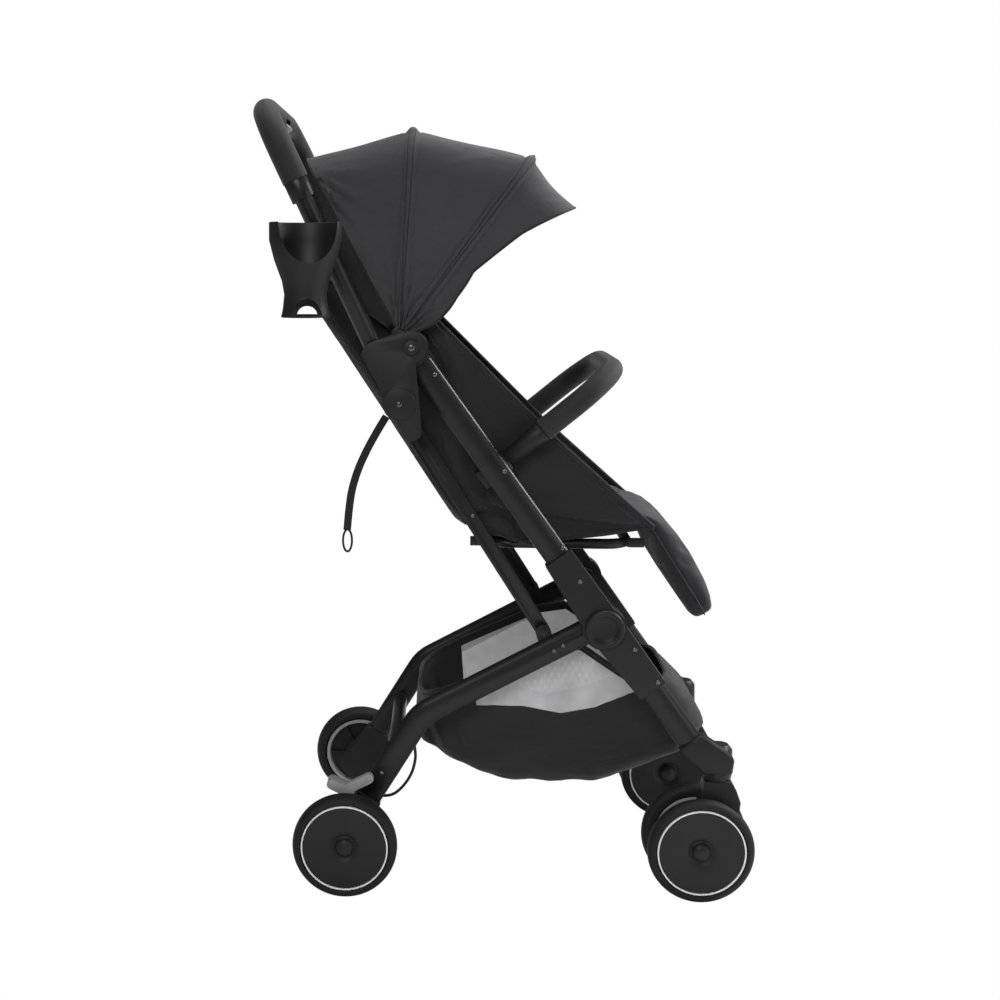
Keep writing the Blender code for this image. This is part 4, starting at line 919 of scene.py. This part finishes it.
wingRim = roundedRoute([(x, 0, z) for x, z in wing["rim"]], wing["rimCorner"], 14)


def rimAt(t):  # a point along the wing's rounded front rim
    lengths = [0.0]
    for a, b in zip(wingRim, wingRim[1:]):
        lengths.append(lengths[-1] + (b - a).length)
    goal = t * lengths[-1]
    for k in range(1, len(wingRim)):
        if goal <= lengths[k] or k == len(wingRim) - 1:
            part = (goal - lengths[k - 1]) / max(1e-9, lengths[k] - lengths[k - 1])
            return wingRim[k - 1].lerp(wingRim[k], part)


rimTable = [rimAt(k / wing["along"]) for k in range(wing["along"] + 1)]


def wingFold(u, t):  # ripples, a crease that runs up the wing, an arc near the hem and a soft pull
    fold = 0.0022 * sin(2 * pi * (u * 1.6 + t * 0.9 + 0.5 * rough(u * 3, t * 4, 1.0)))
    crease = max(0.24, t) + 0.012 * sin(t * 30)
    arc = 0.10 - 0.10 * max(0.0, u - 0.27) / 0.57
    for at, middle, width, height in (
        (u, crease + 0.13, 0.11, 0.0075), (u, crease - 0.10, 0.08, 0.0060), (u, crease, 0.07, -0.0120),
        (t, arc + 0.085, 0.06, 0.0085), (t, arc + 0.02, 0.04, -0.0110), (t, arc - 0.04, 0.04, 0.0050),
    ):
        fold += height * bump(at, middle, width)
    fold += 0.0050 * bump(u, 0.80 - 0.30 * t, 0.10) * softStep((t - 0.1) / 0.2)
    free = softStep(u / 0.12) * softStep((1 - u) / 0.06)
    return min(wing["foldOut"], max(wing["foldIn"], fold * free))


def wingPoint(s):
    lowX, lowZ = wing["low"]
    rise = wing["rim"][0][1] - lowZ

    def placing(u, t):
        rear = Vector((lowX + (wingHigh[0] - lowX) * t, 0, lowZ + (wingHigh[1] - lowZ) * t))
        at = rear.lerp(rimTable[round(t * wing["along"])], u)
        at.z += (between(wing["hem"], at.x) - (lowZ + rise * u)) * softStep(1 - t / 0.22)
        at.y = s * (wing["y"] + wingFold(u, t))
        return at

    return placing


for word, s in sides.items():
    placing = wingPoint(s)
    up = [k / wing["along"] for k in range(wing["along"] + 1)]
    lines = {
        "front": [Vector((p.x, s * wing["y"], p.z)) for p in rimTable],
        "inner": [placing(wing["seamAt"], t) + Vector((0, s * wing["seamOut"], 0)) for t in up],
        "hem": [placing(k / wing["across"], 0.0) for k in range(wing["across"] + 1)],
        "rear": [placing(0.0, t) for t in up],
    }
    meshes = [(gridSheet(wing["across"], wing["along"], placing, wing["thickness"]), 0)]
    for key, line in lines.items():
        meshes.append((curveMesh(line, wing["rims"][key], 6 if key in ("front", "hem") else 4), 1))
    darkBound = ["darkTwill", "binding"]
    piece = finishCloth("seat_wing_" + word, painted(meshes), None, darkBound, "seat_side_" + word)
    near, far = [onLine(wing["low"], backAngle, 0.2, -aside) for aside in wing["slack"]]
    inFrame(*far)
    inFrame(*near)
    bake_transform(piece)
print("wings done")


# cushions
clothFrames = 20
clothRun = {"use_pressure": True, "tension_stiffness": 22, "compression_stiffness": 22,
            "bending_stiffness": 2.5, "quality": 5}
pipedCorner = 0.018
pad = {"startLong": 0.985, "inside": 0.0006, "edge": 0.020, "crownLift": 0.35, "lump": 0.0011,
       "frontShare": 0.98, "backShare": 0.90, "backDent": 0.35, "pipeRadius": 0.0014, "pipeIn": 0.0004}


def puffed(mesh, settings):  # blown up by a short cloth run
    held = linked("cushion", mesh)
    bpy.context.view_layer.objects.active = held
    remesh = held.modifiers.new("even", "REMESH")
    remesh.mode = "VOXEL"
    remesh.voxel_size = settings["voxel"]
    even = evaluated(held)
    held.modifiers.clear()
    held.data = even
    before = [v.co.copy() for v in even.vertices]
    cloth = held.modifiers.new("cloth", "CLOTH")
    for key, value in clothRun.items():
        setattr(cloth.settings, key, value)
    cloth.settings.uniform_pressure_force = settings["pressure"]
    cloth.settings.effector_weights.gravity = 0
    cloth.point_cache.frame_start = 1
    cloth.point_cache.frame_end = clothFrames
    scene = bpy.context.scene
    for number in range(1, clothFrames + 1):
        scene.frame_set(number)
    made = bpy.data.meshes.new_from_object(held.evaluated_get(bpy.context.evaluated_depsgraph_get()))
    scene.frame_set(1)
    bpy.data.objects.remove(held, do_unlink=True)
    for vert, start in zip(made.vertices, before):
        move = vert.co - start
        if move.length > settings["cap"]:
            vert.co = start + move.normalized() * settings["cap"]
    return made


def cushionMesh(settings):  # a puffed block on a slanted line, quilted across
    long, half, thick = settings["long"], settings["half"], settings["thick"]
    work = bmesh.new()
    bmesh.ops.create_cube(work, size=1.0)
    shares = (pad["startLong"], 2 * pad["startLong"], settings["block"])
    bmesh.ops.scale(work, vec=(long * shares[0], half * shares[1], thick * shares[2]), verts=work.verts)
    bmesh.ops.subdivide_edges(work, edges=work.edges[:], cuts=1, use_grid_fill=True)
    for isUpright, offset, segments in ((True, pipedCorner, 5), (False, thick * 0.2, 3)):
        edges = []
        for edge in work.edges:
            rise = abs(edge.verts[0].co.z - edge.verts[1].co.z)
            if edge.calc_face_angle(0) > 1 and (rise > 1e-6) == isUpright:
                edges.append(edge)
        bevelled(work, edges, offset, segments)
    mesh = puffed(evenMesh(work), settings)
    work = bmesh.new()
    work.from_mesh(mesh)
    bmesh.ops.subdivide_edges(work, edges=work.edges[:], cuts=1, use_grid_fill=True, smooth=0.6)
    side = settings["side"]
    reach = max(v.co.x for v in work.verts), max(v.co.y for v in work.verts)
    fit = ((long / 2 - pad["inside"]) / reach[0], (half - pad["inside"]) / reach[1], 1)
    bmesh.ops.scale(work, vec=fit, verts=work.verts)
    tops = max(abs(v.co.z) for v in work.verts)
    stitches = [long * k / settings["channels"] for k in range(1, settings["channels"])]
    for vert in work.verts:
        x, y, z = vert.co
        front = softStep(z * side / tops)
        edge = softStep((half - abs(y)) / pad["edge"])
        pull = sum(bump(x + long / 2, stitch, settings["channelWidth"]) for stitch in stitches)
        dent = settings["crown"] * (pad["crownLift"] - pull) * front * edge
        dent += pad["lump"] * rough(x * 38, y * 22, side * 3.0)
        limit = thick / 2 * (pad["frontShare"] if z * side > 0 else pad["backShare"])
        z += side * dent * (pad["backDent"] + (1 - pad["backDent"]) * front)
        vert.co.z = max(-limit, min(limit, z))
        vert.co.y = max(-half, min(half, y))
    middle = onLine(settings["start"], settings["angle"], long / 2, settings["aside"])
    bmesh.ops.transform(work, matrix=lineTurn(middle, settings["angle"]), verts=work.verts)
    return evenMesh(work)


def cushionPiping(settings):  # the piped seam round a cushion
    long, half = settings["long"] / 2 - pad["pipeIn"], settings["half"] - pad["inside"]
    corners = [(-long, -half, 0), (long, -half, 0), (long, half, 0), (-long, half, 0)]
    loop = roundedRoute(corners, pipedCorner, 8, closed=True)
    mesh = curveMesh(loop, pad["pipeRadius"], 4, cyclic=True, caps=False)
    middle = onLine(settings["start"], settings["angle"], long, settings["aside"])
    mesh.transform(lineTurn(middle, settings["angle"]))
    return mesh


cushions = {
    "seat_back": {
        "body": "seat_back", "start": onLine(seatHinge, backAngle, 0.020, -0.006), "angle": backAngle,
        "long": 0.458, "half": 0.1225, "thick": 0.034, "channels": 5, "side": -1, "aside": -0.002,
        "voxel": 0.0055, "pressure": 3.0, "cap": 0.009, "crown": 0.0042, "channelWidth": 0.014,
        "block": 0.55,
    },
    "seat_pad": {
        "body": "front_frame", "start": (0.196, 0.4790), "angle": radians(4),
        "long": 0.186, "half": 0.1225, "thick": 0.030, "channels": 3, "side": 1, "aside": 0.002,
        "voxel": 0.0050, "pressure": 3.0, "cap": 0.007, "crown": 0.0036, "channelWidth": 0.012,
        "block": 0.60,
    },
}
for name, settings in cushions.items():
    mesh = painted([(cushionMesh(settings), 0), (cushionPiping(settings), 1)])
    piece = finishCloth(name + "_cushion", mesh, settings["body"], ["darkTwill", "binding"], name)
    print(name, "done")


# leg rest
legRest = {
    "start": (0.0, 0.0), "angle": 0.0, "long": 0.173, "half": 0.1225, "thick": 0.046, "channels": 1,
    "side": 1, "aside": 0.0, "voxel": 0.0050, "pressure": 3.5, "cap": 0.005, "crown": 0.0,
    "channelWidth": 0.012, "block": 0.82, "slope": -60.0, "from": -0.2500, "bendFrom": (0.384, 0.506),
    "bendTo": (0.412, 0.462),
    "faces": [
        (-0.2520, 0.5600, 0.5520), (-0.2430, 0.5800, 0.5660), (-0.232, 0.5920, 0.5780),
        (-0.220, 0.6010, 0.5800), (-0.205, 0.6075, 0.5765), (-0.190, 0.6118, 0.5705),
        (-0.160, 0.6149, 0.5672), (-0.120, 0.6140, 0.5690), (-0.0837, 0.6090, 0.5730),
        (-0.0700, 0.6060, 0.5760),
    ],
}


def restPlaced(mesh):  # bent over the seat's front edge and down
    slope = radians(legRest["slope"])
    front = [(a, n) for a, n, back in legRest["faces"]]
    rear = [(a, back) for a, n, back in legRest["faces"]]
    for vert in mesh.vertices:
        a = legRest["from"] + vert.co.x
        share = 0.5 + vert.co.z / legRest["thick"]
        n = between(rear, a) + (between(front, a) - between(rear, a)) * share
        vert.co.x = a * cos(slope) - n * sin(slope)
        vert.co.z = a * sin(slope) + n * cos(slope)
    return mesh


restMesh = painted([(restPlaced(cushionMesh(legRest)), 0), (restPlaced(cushionPiping(legRest)), 1)])
restPiece = finishCloth("leg_rest_cushion", restMesh, None, ["darkTwill", "binding"], "leg_rest")
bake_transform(restPiece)
print("leg rest done")


# shopping basket
basket = {
    "half": 0.1290, "power": 0.42, "around": 168, "upper": 16, "lower": 46, "band": 3, "bandDeep": 0.010,
    "thickness": 0.0010, "netFrom": 0.166, "netTo": 0.405, "netOut": 0.118, "netFarther": 0.014,
    "farDrop": 0.042, "rimRadius": 0.0028, "bendFrom": (0.13, 0.2), "bendTo": (0.36, 0.2),
    "rim": [(0.080, 0.236), (0.295, 0.334), (0.395, 0.264), (0.440, 0.276), (0.500, 0.276)],
    "levels": [
        (1.0, 0.205, 0.095, 0.430, 1.0), (0.5, 0.205, 0.090, 0.466, 1.0),
        (0.0, 0.205, 0.090, 0.486, 0.985), (0.0, 0.187, 0.092, 0.474, 0.98),
        (0.0, 0.172, 0.099, 0.459, 0.965), (0.0, 0.158, 0.122, 0.425, 0.94),
        (0.0, 0.143, 0.152, 0.390, 0.90), (0.0, 0.132, 0.178, 0.365, 0.84),
        (0.0, 0.126, 0.205, 0.340, 0.74),
    ],
    "pouch": [
        (0.098, 0.189), (0.166, 0.2388), (0.2437, 0.2402), (0.2559, 0.2300), (0.3037, 0.2307),
        (0.3341, 0.2419), (0.3777, 0.2600), (0.405, 0.2700),
    ],
}


basketFolds = {
    "below": 0.235, "middle": 0.285, "lump": 0.0050, "crease": 0.0042, "creaseTurns": (170, 60),
    "small": 0.0018, "most": 0.0065, "floorAt": 0.17, "floorLump": 0.0035, "floorLeast": 0.1235,
}


def basketAt(turn, down):  # down runs from 0 at the rim to 8 at the floor's edge, then in
    k = min(int(down), 7)
    part = min(down, 8.0) - k
    low, high = basket["levels"][k], basket["levels"][k + 1]
    up, z, rear, front, share = [a + (b - a) * part for a, b in zip(low, high)]
    inward = 1.0 - max(0.0, down - 8.0)
    c, s = cos(turn), sin(turn)
    x = (rear + front) / 2 + (front - rear) / 2 * inward * abs(c) ** basket["power"] * (1 if c >= 0 else -1)
    y = basket["half"] * share * inward * abs(s) ** basket["power"] * (1 if s >= 0 else -1)
    return Vector((x, y, z + up * (between(basket["rim"], x) - z)))


def basketPouch(turn):  # the level at which the closed cloth begins
    for step in range(120):
        down = step * 0.025
        at = basketAt(turn, down)
        if at.z <= between(basket["pouch"], at.x) - (basket["farDrop"] if at.y > 0 else 0):
            return max(0.35, down)
    return 2.0


pouchTable = [basketPouch(2 * pi * k / basket["around"]) for k in range(basket["around"] + 1)]


def isNet(turn):
    at = basketAt(turn, 0.5)
    start = basket["netFrom"] - (basket["netFarther"] if at.y > 0 else 0)
    return abs(at.y) > basket["netOut"] and start < at.x < basket["netTo"]


def basketDown(u, row):  # the level of a row of the sheet at u
    turn = 2 * pi * u
    band, upper = basket["band"], basket["upper"]
    tape = basket["bandDeep"] / (basketAt(turn, 1.0) - basketAt(turn, 0.0)).length
    split = max(tape + 0.15, pouchTable[round(u * basket["around"])]) if isNet(turn) else 1.0
    if row <= band:
        return tape * row / band
    if row <= upper:
        return tape + (split - tape) * (row - band) / (upper - band)
    return split + (8.98 - split) * ((row - upper) / basket["lower"]) ** 0.9


def basketPoint(u, t):
    f = basketFolds
    at = basketAt(2 * pi * u, basketDown(u, round(t * (basket["upper"] + basket["lower"]))))
    deep = softStep((f["below"] - at.z) / 0.05) * softStep((8.9 * t) / 2)
    out = Vector((at.x - f["middle"], at.y * 2.2, 0)).normalized()
    lump = f["lump"] * rough(at.x * 15, at.y * 11, at.z * 16)
    wave = sin(at.x * f["creaseTurns"][0] + f["creaseTurns"][1] * at.z)
    lump += f["crease"] * wave * softStep((0.185 - at.x) / 0.05) * softStep((at.z - 0.15) / 0.03)
    lump += f["small"] * rough(at.x * 55, at.y * 40, at.z * 30)
    at += out * min(f["most"], lump) * deep
    if at.z < f["floorAt"]:
        at.z += f["floorLump"] * rough(at.x * 34, at.y * 22, 4.0) * softStep((f["floorAt"] - at.z) / 0.02)
        at.z = max(at.z, f["floorLeast"])
    return at


def basketSheet():  # its faces have 0 for cloth, 1 for net, 2 for binding
    work = bmesh.new()
    mesh = gridSheet(basket["around"], basket["upper"] + basket["lower"], basketPoint)
    work.from_mesh(mesh)
    bpy.data.meshes.remove(mesh)
    work.faces.ensure_lookup_table()
    turns = [2 * pi * k / basket["around"] for k in range(basket["around"] + 1)]
    for number, face in enumerate(work.faces):
        row, column = divmod(number, basket["around"])
        if row < basket["band"]:
            face.material_index = 2
        elif row < basket["upper"] and isNet(turns[column]) and isNet(turns[column + 1]):
            face.material_index = 1
    bmesh.ops.remove_doubles(work, verts=work.verts, dist=mergeWithin["seam"])
    bmesh.ops.recalc_face_normals(work, faces=work.faces)
    bmesh.ops.solidify(work, geom=work.faces[:], thickness=basket["thickness"])
    return meshOf(work, "basket")


rimLine = [basketPoint(k / basket["around"], 0.0) for k in range(basket["around"])]
rimTube = curveMesh(rimLine, basket["rimRadius"], 5, cyclic=True, caps=False)
basketMesh = painted([(basketSheet(), None), (rimTube, 2)])
basketPiece = finishCloth("basket_cloth", basketMesh, None, ["darkTwill", "net", "binding"], "basket")
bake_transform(basketPiece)
print("basket done")


# straps, cord, harness
def worldPath(points):
    return [(p[0] + place["x"], p[1] + place["y"], p[2]) for p in points]


reclineStrap = {
    "y": -0.100, "half": 0.0052, "thick": 0.0022,
    "knots": [
        (0.0480, 0.6240), (0.0370, 0.6057), (0.0224, 0.5788), (0.0105, 0.5518), (0.0025, 0.5247),
        (-0.0015, 0.4975), (-0.0040, 0.4700),
    ],
    "ringAt": (-0.0035, 0.4560), "ringSize": (0.0060, 0.0150), "ringRadius": 0.0015, "ringSteps": 40,
}
strapLine = smoothRoute([(x, reclineStrap["y"], z) for x, z in reclineStrap["knots"]], 8)
strapPoints = [(p.x, p.z) for p in strapLine]
flatness = reclineStrap["thick"] / 2 / reclineStrap["half"]
strapMade = flatTube(strapPoints, reclineStrap["half"], flatness, reclineStrap["y"], 6)
strap = finishCloth(
    "recline_strap_webbing", strapMade, "seat_back", "webbing", "recline_strap", 60
)
ringLine = []
for k in range(reclineStrap["ringSteps"]):
    a = 2 * pi * k / reclineStrap["ringSteps"]
    (x, z), (deep, high) = reclineStrap["ringAt"], reclineStrap["ringSize"]
    ringLine.append((x + deep * cos(a), reclineStrap["y"], z + high * sin(a)))
ringMesh = curveMesh(ringLine, reclineStrap["ringRadius"], 5, True, False)
ring = finishCloth("recline_strap_ring", ringMesh, "seat_back", "binding", (), 60)
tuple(worldPath(strapLine)[0])

cable = {
    "y": -0.1375, "radius": 0.0020,
    "knots": [
        (0.036, 0.112), (0.062, 0.116), (0.082, 0.138), (0.0905, 0.165), (0.088, 0.190), (0.083, 0.204),
    ],
}
cableLine = smoothRoute([(x, cable["y"], z) for x, z in cable["knots"]], 10)
cableMesh = curveMesh(cableLine, cable["radius"], 6)
cablePiece = finishPiece("brake_cable_cord", cableMesh, "rear_legs", "cable", "brake_cable")
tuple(worldPath(cableLine)[0])

crotch = {
    "half": 0.0125, "thick": 0.0022,
    "knots": [(0.2590, 0.5045), (0.2600, 0.5085), (0.2620, 0.5150), (0.2620, 0.5370)],
}
crotchMesh = strapMesh(crotch["knots"], crotch["half"], crotch["thick"])
finishCloth("crotch_webbing", crotchMesh, "front_frame", "webbing", "crotch_strap", 60)
shoulder = {
    "y": 0.048, "runs": (0.150, 0.200, 0.250, 0.300, 0.345), "out": -0.0305, "wave": 0.0012,
    "waveTurns": 40, "half": 0.0180, "thick": 0.0034, "crossRuns": (0.335, 0.346, 0.357),
    "crossOut": -0.0312, "crossHalf": 0.0640, "crossThick": 0.0030,
}
pads = []
for y in (-shoulder["y"], shoulder["y"]):
    knots = []
    for run in shoulder["runs"]:
        out = shoulder["out"] - shoulder["wave"] * sin(run * shoulder["waveTurns"])
        knots.append(onLine(seatHinge, backAngle, run, out))
    pads.append(strapMesh(knots, shoulder["half"], shoulder["thick"], y))
knots = [onLine(seatHinge, backAngle, run, shoulder["crossOut"]) for run in shoulder["crossRuns"]]
pads.append(strapMesh(knots, shoulder["crossHalf"], shoulder["crossThick"]))
finishCloth("shoulder_webbing", joined(pads), "seat_back", "webbing", "shoulder_straps", 60)
print("straps done")


# hub caps, screws and rivets
hubCap = {
    "at": (0.334, 0.359), "y": 0.1873, "steps": 72,
    "profile": [
        (0, 0.0026), (0.0080, 0.0027), (0.0130, 0.0030), (0.0152, 0.0038), (0.0178, 0.0064),
        (0.0195, 0.0075), (0.0214, 0.0078), (0.0232, 0.0073), (0.0246, 0.0062), (0.0255, 0.0046),
        (0.0255, 0.0), (0, 0.0),
    ],
}
for word, s in sides.items():
    x, z = hubCap["at"]
    mesh = spun(hubCap["profile"], (x, s * hubCap["y"], z), "Y", s, hubCap["steps"])
    name = "hub_cap_" + word
    finishPiece(name + "_finished", mesh, "front_frame", "plastic", name, 50)

headProfile = [
    (0, 0.0006), (0.38, 0.0006), (0.44, 0.0013), (0.70, 0.0012), (0.90, 0.0008), (1.0, 0.0002),
    (1.0, -0.0006), (0, -0.0006),
]
heads = {  # x, y, z and radius on each side
    "front_frame": [(0.1121, 0.1816, 0.6855, 0.0030), (0.2023, 0.1816, 0.5621, 0.0030),
                    (0.2783, 0.1816, 0.4632, 0.0030), (0.3733, 0.1870, 0.3326, 0.0032),
                    (0.4038, 0.1870, 0.2898, 0.0032), (0.3010, 0.1870, 0.4210, 0.0032),
                    (0.0825, 0.1995, 0.7203, 0.0042)],
    "rear_legs": [(0.2832, 0.1598, 0.3301, 0.0028), (0.2715, 0.1598, 0.3226, 0.0028),
                  (0.0460, 0.1598, 0.1519, 0.0030)],
    "handle": [(0.0677, 0.1996, 0.6488, 0.0036)],
}
strutHeads = [(0.1635, 0.1415, 0.4980, 0.0028), (0.2577, 0.1415, 0.3455, 0.0028)]


def headMeshes(places, s):
    meshes = []
    for x, y, z, radius in places:
        meshes.append(spun([(r * radius, a) for r, a in headProfile], (x, s * y, z), "Y", s, 20))
    return meshes


for body, places in heads.items():
    meshes = [mesh for s in sides.values() for mesh in headMeshes(places, s)]
    finishPiece("rivets_" + body, joined(meshes), body, "rivet", (), 30)
for word, s in sides.items():
    strut = "strut_" + word
    finishPiece("rivets_" + strut, joined(headMeshes(strutHeads, s)), strut, "rivet", (), 30)
print("heads done")


# size
low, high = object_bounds()
print("size", [round(v, 4) for v in low], [round(v, 4) for v in high])
